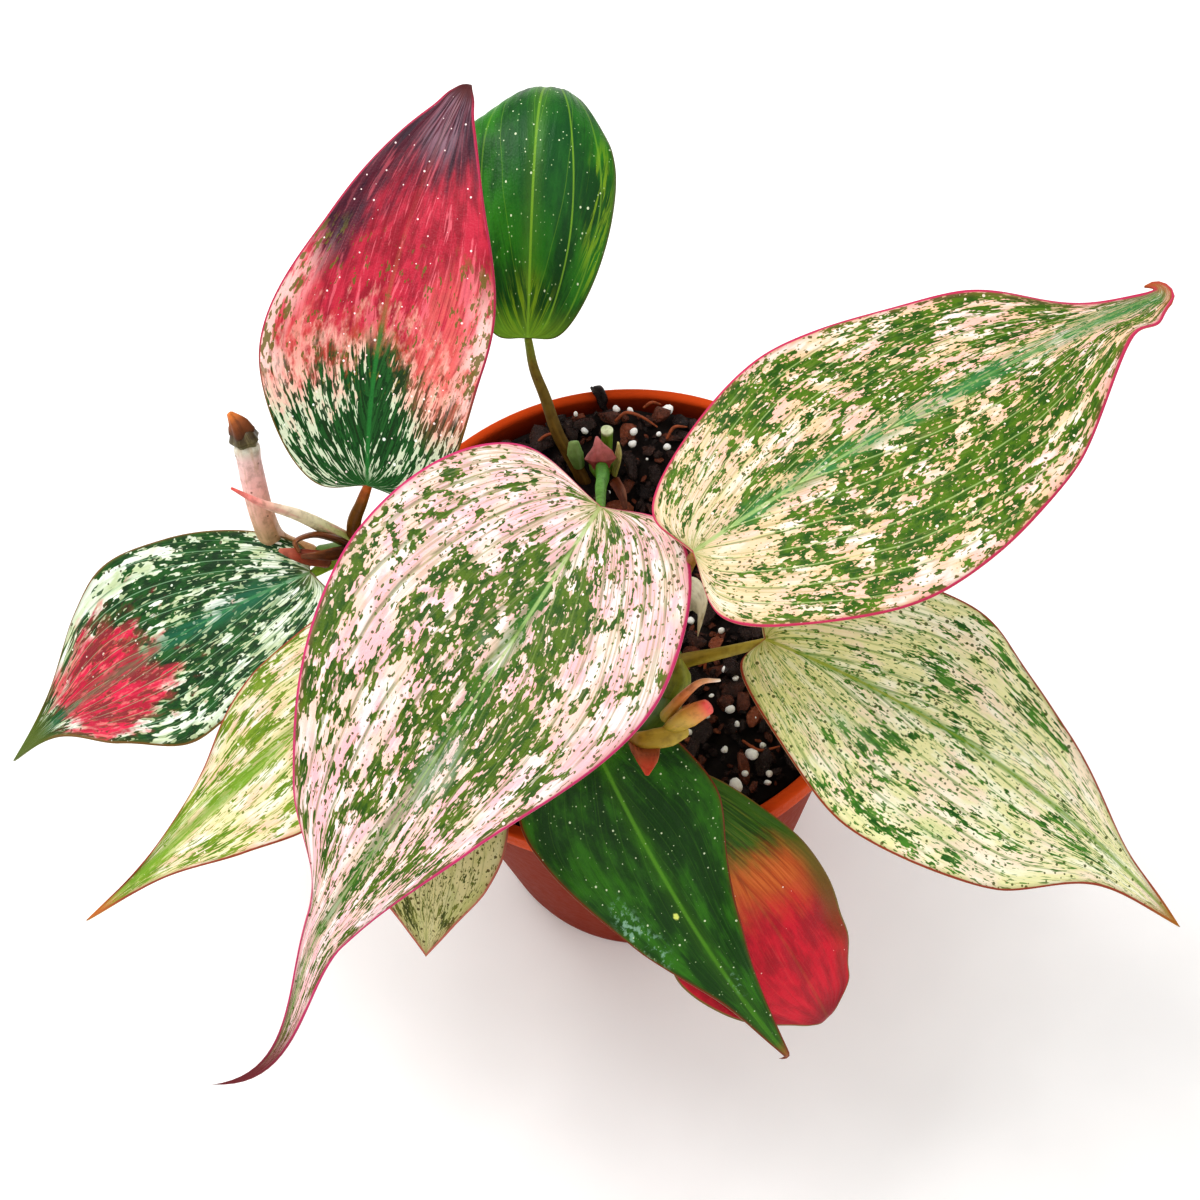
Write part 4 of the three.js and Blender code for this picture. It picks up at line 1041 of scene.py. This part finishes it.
SHOOTS = {
    "cut_stem": dict(
        points=[(-61, 18, 104.5), (-66.5, 20, 108), (-68, 20.5, 118), (-68.5, 25, 125),
                (-68.5, 29, 130.5)], radii=[2.6, 2.5, 2.4, 2.4, 2.3], steps=60, ridges=6, ridge=0.03,
        knots=[(0.99, 0.25, 0.04)],
        stops={0: "#c49664", 0.45: "#deb490", 0.75: "#eeb8b0", 0.93: "#e8c4be", 1: "#d6d0be"},
        streak="#b08c60", spots="#5c3a18", spot_share=0.3),
    "cut_stem_collar": dict(
        points=[(-68.5, 29.5, 131.2), (-68.7, 30.5, 133)], radii=[2.2, 2.9, 2.5], steps=14, ridges=5,
        ridge=0.1, stops={0: "#787450", 0.5: "#544a28", 1: "#46361a"}, streak="#8c825a"),
    "dry_stem_cap": dict(
        points=[(-69, 31, 133.6), (-69.4, 31.7, 135.3), (-70.5, 33, 137)], radii=[2.4, 1.9, 0.7],
        steps=16, ridges=4, ridge=0.16, stops={0: "#5a3214", 0.6: "#8c4a1a", 1: "#d4782c"},
        streak="#3c1e0c", rough=0.6),
    "new_spike": dict(
        points=[(-52, 17, 110), (-60.5, 18, 121), (-67, 18, 127.5), (-72, 20, 131)],
        radii=[1.5, 1.3, 1.05, 0.8, 0.55, 0.25], steps=60, ridges=4, ridge=0.06,
        stops={0: "#b0c454", 0.35: "#f2eec4", 0.62: "#fae2c8", 0.82: "#f6a096", 1: "#e25a50"},
        streak="#f0aaa0", streak_share=0.6, rough=0.38),
    "dry_sheath_upper": dict(
        points=[(-61.5, 12.5, 116.6), (-62, 14, 117.6), (-58.5, 15.5, 117), (-55, 15.5, 115),
                (-53, 15.5, 112.5)], radii=[0.7, 0.8, 1.2, 1.6, 1.6], steps=40, flat=0.5,
        wide=(0, 0.5, 0.9), ridges=3, ridge=0.08, stops={0: "#78461e", 0.5: "#6e3c18", 1: "#502a12"},
        streak="#a06432"),
    "dry_sheath_lower": dict(
        points=[(-61, 11.5, 116), (-58, 11, 116.5), (-55.5, 12, 114.5), (-53.5, 13.5, 112)],
        radii=[0.5, 0.9, 1.4, 1.4], steps=36, flat=0.5, wide=(0, 0.5, 0.9), ridges=3, ridge=0.08,
        stops={0: "#6e3c1a", 1: "#502a12"}, streak="#965a2c"),
    "red_sheath": dict(
        points=[(-56.5, 11.5, 113.5), (-60.5, 12, 114.8), (-63, 12.5, 116), (-65.2, 13, 117)],
        radii=[1.7, 1.5, 1.1, 0.4], steps=36, flat=0.5, wide=(0, 0.8, 0.5), ridges=3, ridge=0.06,
        stops={0: "#783c1e", 0.6: "#964028", 1: "#c46e5a"}, streak="#be6e50"),
    "node_sheath": dict(
        points=[(-0.5, 27.4, 109.2), (-0.4, 29.2, 111.2), (-0.7, 31.6, 113.4)],
        radii=[1.9, 3.2, 2.5, 1.1, 0.3], steps=30, flat=0.55, wide=(1, 0, 0), ridges=5, ridge=0.07,
        bend=0.25, stops={0: "#964642", 0.6: "#ac5c58", 1: "#d68282"}, streak="#78362c"),
    "cut_stub": dict(
        points=[(0.5, 31.5, 104), (1.2, 33, 108.5), (1.5, 33.5, 112.5)], radii=[1.4, 1.2, 1.15, 1.25],
        steps=30, cap=0.15, stops={0: "#5a8224", 0.9: "#749c30", 1: "#dee6be"}, streak="#aac86e"),
    "yellow_sheath": dict(
        points=[(2, 28.5, 104), (3.2, 29.5, 109), (3.4, 30, 112.5)], radii=[1.2, 1.4, 0.5], steps=24,
        flat=0.5, wide=(0, 1, 0), ridges=4, ridge=0.06, stops={0: "#969646", 1: "#d2c882"},
        streak="#dcd6a0"),
    "green_bract": dict(
        points=[(-5, 33.2, 100), (-5.4, 33.8, 103.8), (-5.4, 34.8, 106.8)], radii=[1.2, 1.7, 1.1],
        steps=24, flat=0.4, wide=(1, 0, 0.2), bend=0.25, stops={0: "#78a050", 1: "#a6cc80"},
        streak="#c4dea0"),
    "brown_strip": dict(
        points=[(1.8, 27, 103), (2.8, 24, 103), (3.2, 21, 102)], radii=[1.2, 1.1, 0.5], steps=24,
        flat=0.35, wide=(1, 0, 0.4), stops={0: "#783c22", 1: "#60321e"}, streak="#b0785a",
        spots="#f0e6dc"),
    "pale_sheath": dict(
        points=[(7.5, -15, 122), (12, -12.5, 124.5), (14.4, -15.5, 126), (13.2, -22, 126.5)],
        radii=[1.6, 3.2, 3.9, 3.4, 0.5], steps=44, flat=0.2, wide=(1, 0, 0.1), ridges=6, ridge=0.04,
        bend=0.2, stops={0: "#beba96", 0.5: "#d6d0b4", 1: "#c4b48c"}, streak="#e8e4ce"),
    "olive_sheath": dict(
        points=[(6, -36, 127), (8.5, -34, 131.5), (8.8, -31, 135)], radii=[1.6, 2.2, 1.9, 0.6], steps=30,
        flat=0.4, wide=(1, -0.2, 0), ridges=5, ridge=0.04, bend=0.25, stops={0: "#546e12", 1: "#8c8c22"},
        streak="#969c32"),
    "shoot_band": dict(
        points=[(-2, -43, 130), (0.5, -44.6, 131.6), (4.5, -44.8, 132), (8, -44, 132)],
        radii=[0.8, 1.5, 1.9, 2, 1.4], steps=40, flat=0.6, wide=(0, 1, 0.5), ridges=4, ridge=0.04,
        stops={0: "#96681e", 0.4: "#aa8e2c", 1: "#b09632"}, streak="#c8ac4c"),
    "rolled_leaf": dict(
        points=[(5, -43, 131), (7.5, -43.5, 135), (10.5, -43, 137), (12.8, -42.6, 138)],
        radii=[1.2, 1.9, 2.3, 2.1, 1.7], steps=40, flat=0.8, wide=(1, 0, 0.3), ridges=2, ridge=0.1,
        cap=0.3, stops={0: "#969230", 0.55: "#c4a042", 0.85: "#d88c4a", 1: "#ec5c54"}, streak="#e29660",
        streak_share=0.4),
    "curved_spike": dict(
        points=[(5, -41.5, 133.5), (8.5, -40, 138), (12, -38.6, 140), (15.5, -38.2, 139)],
        radii=[1.3, 1, 0.75, 0.5, 0.28], steps=44, ridges=3, ridge=0.06,
        stops={0: "#aa9c38", 0.45: "#d68246", 0.8: "#ecaa7c", 1: "#fcf0e2"}, streak="#f6cea0"),
    "shoot_sheath": dict(
        points=[(0.5, -44, 129.3), (0.8, -48, 131), (0.3, -51.5, 131.5)], radii=[2.8, 2.7, 1.9, 0.5],
        steps=36, flat=0.25, wide=(1, 0, 0), ridges=3, ridge=0.04, bend=0.25,
        stops={0: "#825028", 0.5: "#9c5430", 1: "#e2543c"}, streak="#c46e46"),
}
LOOK_KEYS = ("stops", "streak", "streak_share", "spots", "spot_share", "rough")
SHOOT_SEED = 20
for number, (name, shoot) in enumerate(SHOOTS.items()):
    look = {key: shoot.pop(key) for key in LOOK_KEYS if key in shoot}
    skin = stem_skin(f"{name}_skin", **look)
    piece = tube_piece(f"{name}_fine", material=skin, seed=number + SHOOT_SEED, **shoot)
    stand_in(piece, name)


# Pot

UNDERSIDE_LIFT = 0.9
FOOT_INNER_RADIUS = 27.2
ROUNDING = 1.2
LIP_ROUNDING = 0.9
DRAIN_HOLES = 5
DRAIN_HOLE_RADIUS = 3
DRAIN_HOLE_CIRCLE = 20
DRILL_SIDES = 32
SHARP_ANGLE = 35


def arc(cx, cy, radius, start, stop, count):
    angles = np.radians(np.linspace(start, stop, count))
    return [(cx + radius * math.cos(a), cy + radius * math.sin(a)) for a in angles]


def ring(radius, height, sides, cx=0, cy=0):
    angles = FULL_TURN * np.arange(sides) / sides
    return [(cx + radius * math.cos(a), cy + radius * math.sin(a), height) for a in angles]


def pot_outline():
    """(radius, height) from the middle of the underside, up the wall, over the rim and down the inside."""
    wall_top = POT_HEIGHT - RIM_HEIGHT
    inner = RIM_RADIUS - RIM_WIDTH
    foot = POT_BASE_RADIUS - WALL
    points = [(0, UNDERSIDE_LIFT), (FOOT_INNER_RADIUS - 1.2, UNDERSIDE_LIFT), (FOOT_INNER_RADIUS, 0)]
    points += arc(POT_BASE_RADIUS - ROUNDING, ROUNDING, ROUNDING, -90, -8, 6)
    points += [(POT_BASE_RADIUS + (POT_WALL_TOP_RADIUS - POT_BASE_RADIUS) * share, wall_top * share)
               for share in np.linspace(0.04, 0.985, 24)]
    points += [(POT_WALL_TOP_RADIUS, wall_top - 0.3), (POT_WALL_TOP_RADIUS + 0.4, wall_top)]
    points += arc(RIM_RADIUS - LIP_ROUNDING, wall_top + LIP_ROUNDING, LIP_ROUNDING, -90, 0, 6)
    points += [(RIM_RADIUS, wall_top + 2.6), (RIM_RADIUS - 0.05, wall_top + 4.2)]
    points += arc(RIM_RADIUS - ROUNDING, POT_HEIGHT - ROUNDING, ROUNDING, 5, 90, 8)
    points += arc(inner + 1, POT_HEIGHT - 1, 1, 100, 178, 7)
    points += [(inner - 0.05, POT_HEIGHT - 3), (inner - 0.4, wall_top)]
    points += [(POT_WALL_TOP_RADIUS - WALL, wall_top - 3)]
    points += [(foot, WALL + 1.2), (foot - 0.8, WALL + 0.4), (0, WALL + 0.4)]
    return points


def lathe_piece(name, outline, material, sides=144):
    (_, bottom), *inside, (_, top) = outline
    verts = [(0, 0, bottom)]
    for radius, height in inside:
        verts += ring(radius, height, sides)
    verts.append((0, 0, top))
    return make_object(name, verts, closed_rings(len(inside), sides), material)


def pot_skin():
    p = Paint("pot_plastic")
    place = p.millimetres()
    x, y, height = p.split(place)
    wide = p.noise(place, 0.035, 4, 0.6)
    fine = p.noise(place, 0.55, 5, 0.65)
    rings = p.noise(p.join(0, 0, height), 0.9, 3, 0.6)
    drips = p.noise(p.join(x * 0.25, y * 0.25, height * 0.02), 1, 4, 0.6)
    # Painted shade: the wall is a much darker brown than the orange lip, one plastic shown shaded on the wall
    # and lit at the lip.
    wall = p.mix(p.smooth(wide, 0.36, 0.64), "#603412", "#6c3c16")
    p.color = p.mix(p.smooth(height, 91.4, 92.4), wall, "#cc5020")
    # Painted shade: the inside of the rim and of the wall below it is darker red.
    inner = p.smooth(p.math("SQRT", x * x + y * y), 50.4, 49.6)
    p.coat(inner * p.smooth(height, 97.6, 96.6), "#80280e")
    p.coat(p.smooth(drips, 0.5, 0.72) * p.smooth(height, 92, 80) * 0.1, "#964a2a")
    soiled = p.smooth(fine, 0.62, 0.74) * p.smooth(height, 98.5, 90, 0.22, 0.12)
    p.coat(soiled, "#542c1a")
    rough = (fine - 0.5) * 0.35 + p.smooth(height, 91, 93, 0.44, 0.26)
    relief = p.bump(rings * 0.5 + fine * 0.25, 0.15, 0.0005)
    return p.finish(p.clamp(rough), relief, Specular_IOR_Level=0.015)


def drill(number, material):
    """A short bar that cuts one drain hole."""
    turn = FULL_TURN * number / DRAIN_HOLES
    cx, cy = DRAIN_HOLE_CIRCLE * math.cos(turn), DRAIN_HOLE_CIRCLE * math.sin(turn)
    verts = [point for z in (-2, 3) for point in ring(DRAIN_HOLE_RADIUS, z, DRILL_SIDES, cx, cy)]
    last = DRILL_SIDES - 1
    faces = [(j, (j + 1) % DRILL_SIDES, DRILL_SIDES + (j + 1) % DRILL_SIDES, DRILL_SIDES + j)
             for j in range(DRILL_SIDES)]
    faces += [tuple(range(last, -1, -1)), tuple(range(DRILL_SIDES, 2 * DRILL_SIDES))]
    return make_object(f"drill_{number}", verts, faces, material)


POT_SKIN = pot_skin()
pot = lathe_piece("pot_fine", pot_outline(), POT_SKIN)
drills = [drill(number, POT_SKIN) for number in range(DRAIN_HOLES)]
for bar in drills:
    cut = pot.modifiers.new("hole", "BOOLEAN")
    cut.operation = "DIFFERENCE"
    cut.solver = "EXACT"
    cut.object = bar
bpy.context.view_layer.update()
bake(pot)
for bar in drills:
    bpy.data.objects.remove(bar)
pot.data.set_sharp_from_angle(angle=math.radians(SHARP_ANGLE))
stand_in(pot, "pot")


# Soil

SOIL_LEVEL = SOIL_TOP - 1.9
SOIL_BOTTOM = WALL + 0.8
BED_RINGS = 60
BED_SPOKES = 132
BED_TONE = 0.3
BED_GAP = 0.45
BED_SETTLE = 0.6
HEAP = 3.2


def inner_at(z):
    """The pot's inner radius at the height z."""
    low, high = WALL + 0.4, POT_HEIGHT - RIM_HEIGHT - 3
    return POT_BASE_RADIUS - WALL + (POT_WALL_TOP_RADIUS - POT_BASE_RADIUS) / (high - low) * (z - low)


SOIL_RADIUS = inner_at(SOIL_TOP - 1.5) - 0.4
ground_draw = np.random.default_rng(5)
GROUND_WAVES = [(ground_draw.normal() * f, ground_draw.normal() * f, ground_draw.uniform(0, 6.28), height)
                for f, height in ((0.12, 0.5), (0.3, 0.35), (0.8, 0.22), (1.6, 0.12)) for _ in range(2)]


def soil_height(x, y):
    """Uneven, and heaped towards the rim at the back."""
    heap = HEAP * min(max((y - 4) / 30, 0), 1) + 1.2
    waves = sum(height * math.sin(fx * x + fy * y + phase) for fx, fy, phase, height in GROUND_WAVES)
    return SOIL_LEVEL + heap + waves


def mineral_skin(name, stops, rough, bump, peak_highlight=None, scale=1.4, depth=0.6):
    """Bark, bed, perlite or fibre: the colour follows the tone of each grain and a noise over it, with
    painted shade in the low parts of the relief and a painted highlight on its raised points where a
    highlight colour is given.
    """
    p = Paint(name)
    place = p.millimetres()
    fine = p.noise(place, scale, 5, 0.68)
    broad = p.noise(place, scale * 0.25)
    p.color = p.ramp(p.attr("tone", "Fac") + (broad - 0.5) * 0.35, stops)
    # Painted shade: darker where the relief is low, in the hollows.
    p.coat(p.smooth(fine, 0.52, 0.34) * depth, p.mix(0.7, p.color, "#0c0806"))
    # Painted highlight: a pale colour on the raised points of the relief.
    if peak_highlight is not None:
        p.coat(p.smooth(fine, 0.64, 0.72) * 0.6, peak_highlight)
    height = fine + p.noise(place, scale * 4, 3, 0.6) * 0.4
    uneven = p.clamp((fine - 0.5) * 0.5 + rough)
    return p.finish(uneven, p.bump(height, bump, 0.0008), Specular_IOR_Level=0.35)


BED_SKIN = mineral_skin("soil_bed_skin", {0: "#1a1210", 1: "#34241e"}, 0.75, 0.9, scale=2.2)
BARK_STOPS = {0: "#281f1e", 0.42: "#42302b", 0.62: "#70402f", 0.85: "#985439", 1: "#ba7858"}
BARK_SKIN = mineral_skin("bark_skin", BARK_STOPS, 0.24, 0.8, peak_highlight="#b09282")
PERLITE_SKIN = mineral_skin("perlite_skin", {0: "#e2dcd0", 1: "#fdfdfa"}, 0.5, 0.2, scale=1.2, depth=0.12)
FIBRE_SKIN = mineral_skin("fibre_skin", {0: "#783c22", 1: "#be6438"}, 0.55, 0.4)


def soil_bed():
    """The dark bed under the chips, down to the pot's floor."""
    verts = [(0, 0, soil_height(0, 0))]
    for i in range(1, BED_RINGS + 1):
        share = i / BED_RINGS
        settle = BED_SETTLE * share ** 8
        verts += [(x, y, soil_height(x, y) - settle) for x, y, _ in ring(SOIL_RADIUS * share, 0, BED_SPOKES)]
    lower = (SOIL_TOP - 6, 60, 30, SOIL_BOTTOM)
    for z in lower:
        verts += ring(inner_at(z) - BED_GAP, z, BED_SPOKES)
    verts.append((0, 0, SOIL_BOTTOM))
    faces = closed_rings(BED_RINGS + len(lower), BED_SPOKES, outward=False)
    piece = make_object("soil_bed", verts, faces, BED_SKIN)
    add_float(piece, "tone", np.full(len(verts), BED_TONE))
    return piece


stand_in(soil_bed(), "soil")


def icosphere(levels):
    mesh = bmesh.new()
    bmesh.ops.create_icosphere(mesh, subdivisions=levels, radius=1)
    verts = np.array([tuple(v.co) for v in mesh.verts])
    faces = [tuple(v.index for v in f.verts) for f in mesh.faces]
    mesh.free()
    return verts, faces


def scattered(name, grains, material, levels, shape, smooth):
    """One piece made of many grains: each (x, y, z, size, tone)."""
    ball, ball_faces = icosphere(levels)
    draw = np.random.default_rng(len(name))
    verts, faces, tones = [], [], []
    for x, y, z, size, tone in grains:
        faces.extend(tuple(len(verts) + i for i in f) for f in ball_faces)
        verts.extend((shape(ball.copy(), draw) * size + (x, y, z)).tolist())
        tones.extend([tone] * len(ball))
    loose_on_soil(make_object(name, verts, faces, material, smooth), tones)


def chip_shape(points, draw):
    """A chunk of bark: a ball squared off by a few cutting planes, then stretched."""
    for _ in range(7):
        normal = unit(draw.normal(size=3))
        depth = draw.uniform(0.45, 0.8)
        points = points - np.maximum(points @ normal - depth, 0)[:, None] * normal
    points = points + draw.normal(size=points.shape) * 0.035
    points = points * np.array([1.25, draw.uniform(0.6, 1), draw.uniform(0.45, 0.8)])
    lean = Matrix.Rotation(draw.uniform(-0.5, 0.5), 3, "X") @ Matrix.Rotation(draw.uniform(-0.5, 0.5), 3, "Y")
    spin = Matrix.Rotation(draw.uniform(0, 6.28), 3, "Z")
    return points @ np.array(spin @ lean).T


def perlite_shape(points, draw):
    """A lumpy ball, turned at random."""
    lumps = np.ones(len(points))
    for _ in range(5):
        lumps = lumps + 0.06 * np.sin(points @ draw.normal(size=3) * 1.8 + draw.uniform(0, 6.28))
    points = points * lumps[:, None] * np.array([1, draw.uniform(0.8, 1), draw.uniform(0.75, 0.95)])
    axis = unit(draw.normal(size=3))
    return points @ np.array(Matrix.Rotation(draw.uniform(0, 6.28), 3, Vector(axis))).T


STEM_HOLES = [(2, 1, 4.2), (-0.5, 37.5, 4), (-41, 13, 4.2), (-3.5, 31.5, 3.2), (-39.5, 11, 3.2)]


def random_place(draw, size, inset):
    """A place on the soil for a grain of this size, and whether it is clear of the stems."""
    radius = (SOIL_RADIUS - inset * size) * math.sqrt(draw.uniform(0, 1))
    angle = draw.uniform(0, FULL_TURN)
    x, y = radius * math.cos(angle), radius * math.sin(angle)
    clear = all(math.hypot(x - hx, y - hy) > reach * 0.75 + size for hx, hy, reach in STEM_HOLES)
    return x, y, clear


CHIPS = 1500
BIG_CHIPS = 700
BIG_CHIP_SIZES = (1.5, 2.9)
SMALL_CHIP_SIZES = (0.6, 1.5)
CRUMBS = 900
CRUMB_SIZES = (0.5, 1.15)
GRAINS = 90
GRAIN_SIZES = (0.3, 0.9)
CHIP_TONES = {0.05: 0.28, 0.25: 0.28, 0.42: 0.2, 0.62: 0.15, 0.85: 0.09}

draw = np.random.default_rng(12)
chips = []
for number in range(CHIPS):
    big = number < BIG_CHIPS
    size = draw.uniform(*(BIG_CHIP_SIZES if big else SMALL_CHIP_SIZES))
    x, y, clear = random_place(draw, size, 0.75)
    if not clear or big and any(math.hypot(x - a, y - b) < 0.58 * (size + s) for a, b, _, s, _ in chips):
        continue
    tone = draw.choice(list(CHIP_TONES), p=list(CHIP_TONES.values()))
    lift = draw.uniform(0, 1)
    lift = (0.35 + 0.5 * lift) * size if big else 0.4 * size + 1.2 * lift
    chips.append((x, y, soil_height(x, y) + lift, size, tone + draw.uniform(-0.05, 0.05)))
scattered("bark_chips", chips, BARK_SKIN, 2, chip_shape, False)

draw = np.random.default_rng(57)
crumbs = []
for _ in range(CRUMBS):
    size = draw.uniform(*CRUMB_SIZES)
    x, y, clear = random_place(draw, size, 1)
    if clear:
        crumbs.append((x, y, soil_height(x, y) + draw.uniform(0.1, 1.3), size, draw.uniform(0, 0.75)))
scattered("bark_crumbs", crumbs, BARK_SKIN, 1, chip_shape, False)

# Grains that the light falls on between the leaves, then a scatter of others
SEEN_PERLITE = [(4.1, 46, 0.8), (-4.3, 46.6, 0.6), (7, 45, 0.9), (14.6, 44.6, 1.3), (-2.9, 42.6, 0.8),
                (7.1, 39.9, 0.9), (6.4, 37.6, 0.9), (12.1, 38.9, 0.6), (19, -14.7, 1), (20.4, -16.8, 0.7),
                (18.4, -23.1, 1), (19.4, -26.5, 0.7), (16.3, -31.5, 0.8), (21.4, -33.3, 1.3),
                (19.5, -37.4, 0.8), (17.4, -39.9, 1.5), (23.6, -39.5, 0.8), (13.9, -24, 0.5),
                (15.2, -19.8, 0.5)]
grains = [(x, y, soil_height(x, y) + 0.5 * size + 1.9, size, 0.95) for x, y, size in SEEN_PERLITE]
draw = np.random.default_rng(31)
for _ in range(GRAINS):
    size = draw.uniform(*GRAIN_SIZES)
    x, y, clear = random_place(draw, size, 1)
    if clear and all(math.hypot(x - g[0], y - g[1]) > size + g[3] for g in grains):
        grains.append((x, y, soil_height(x, y) + 0.5 * size + 1.5, size, draw.uniform(0.3, 1)))
scattered("perlite_grains", grains, PERLITE_SKIN, 2, perlite_shape, True)


def strand(name, line, radii, material, tone, sides, steps):
    piece = tube_piece(name, line, radii, material, sides=sides, steps=steps)
    loose_on_soil(piece, np.full(len(piece.data.vertices), tone))


# Each fibre's points are (x, y, height over the soil)
FIBRES = [
    [(3.5, 43.4, 1.7), (6, 43.9, 3.5), (9, 42.7, 3.7), (12, 40.8, 2.3)],
    [(9.8, 46.5, 1.5), (11.6, 46.9, 2.9), (13.4, 46.6, 2.3)],
    [(13.6, 38, 1.7), (15.4, 39.6, 3.1), (18, 40, 1.9)],
    [(-14, 41, 1.7), (-10.5, 42.4, 3.3), (-7, 42, 1.9)],
    [(14.6, -13.8, 1.7), (15.3, -12, 3.1), (16.2, -10.2, 2.7)],
    [(24, -22, 1.7), (26, -19, 3.1), (29, -18, 1.9)],
    [(20, -30, 1.7), (23, -32.6, 3.1), (27, -32, 1.8)],
    [(-20, -30, 1.7), (-16, -33, 2.9), (-11, -33.5, 1.9)],
    [(30, 8, 1.7), (32, 12, 2.9), (31, 17, 1.9)],
    [(-28, 26, 1.7), (-24, 29, 2.9), (-19, 29.5, 1.9)],
]
for number, line in enumerate(FIBRES):
    line = [(x, y, soil_height(x, y) + lift) for x, y, lift in line]
    strand(f"fibre_{number}", line, [0.26, 0.36, 0.32, 0.18], FIBRE_SKIN, 0.5, 8, 24)

# Each dry bit's points are (x, y, height over the rim)
DRY_BITS = [
    [(2.4, 48.4, -3.6), (1.2, 49.6, -1.2), (0.6, 51, 0.7), (-0.4, 52.4, 0.9)],
    [(1.6, 49.2, -2.6), (2, 50.2, -0.2), (1.4, 51.6, 0.9), (0.2, 52.2, 1.2)],
]
for number, line in enumerate(DRY_BITS):
    line = [(x, y, POT_HEIGHT + lift) for x, y, lift in line]
    strand(f"dry_bit_{number}", line, [0.4, 0.75, 0.6, 0.8, 0.3], BARK_SKIN, 0.1, 10, 26)


# Floor, light and camera

FLOOR_REACH = 6
floor_mesh = bpy.data.meshes.new("floor")
corners = [(x * FLOOR_REACH, y * FLOOR_REACH, 0) for x, y in ((-1, -1), (1, -1), (1, 1), (-1, 1))]
floor_mesh.from_pydata(corners, [], [(0, 1, 2, 3)])
floor = add_object("floor", floor_mesh)
paper = Paint("floor_paper")
grain = paper.noise(paper.node("TexCoord", output="Object"), 40, 3)
paper.color = paper.mix(paper.smooth(grain, 0.3, 0.7), "#faf9f8", "#fefdfc")
floor_mesh.materials.append(paper.finish(
    0.8, Specular_IOR_Level=0.2, Emission_Color="#fafafa", Emission_Strength=0.06))

WORLD_LIGHT = 0.62
world = bpy.data.worlds.new("studio")
bpy.context.scene.world = world
world.use_nodes = True
backdrop = world.node_tree.nodes["Background"].inputs
backdrop[0].default_value = (1, 1, 1, 1)
backdrop[1].default_value = WORLD_LIGHT


def softbox(name, place, size, power):
    data = bpy.data.lights.new(name, "AREA")
    data.shape = "SQUARE"
    data.size = size
    data.energy = power
    lamp = add_object(name, data)
    lamp.location = place
    lamp.rotation_mode = "QUATERNION"
    lamp.rotation_quaternion = (LIGHT_AIM - Vector(place)).to_track_quat("-Z", "Y")


LIGHT_AIM = Vector((0, 0, 0.1))
softbox("key", (-0.55, 0.35, 1.15), 0.8, 10.5)
softbox("fill", (0.8, -0.7, 0.9), 1.2, 3.6)

VIEW_TARGET = Vector((-0.0042, 0.0031, 0.098))
VIEW_DISTANCE = 0.6
VIEW_ELEVATION = math.radians(62)
VIEW_ROLL = math.radians(-7.3)
LENS = 90
SENSOR = 36
lens = bpy.data.cameras.new("camera")
lens.sensor_width = SENSOR
lens.lens = LENS
camera = add_object("camera", lens)
aim = Matrix.Rotation(math.pi / 2 - VIEW_ELEVATION, 4, "X") @ Matrix.Rotation(VIEW_ROLL, 4, "Z")
camera.matrix_world = Matrix.Translation(VIEW_TARGET) @ aim @ Matrix.Translation((0, 0, VIEW_DISTANCE))
bpy.context.scene.camera = camera
bpy.context.scene.view_settings.view_transform = "Standard"
bpy.context.scene.view_settings.look = "Medium High Contrast"
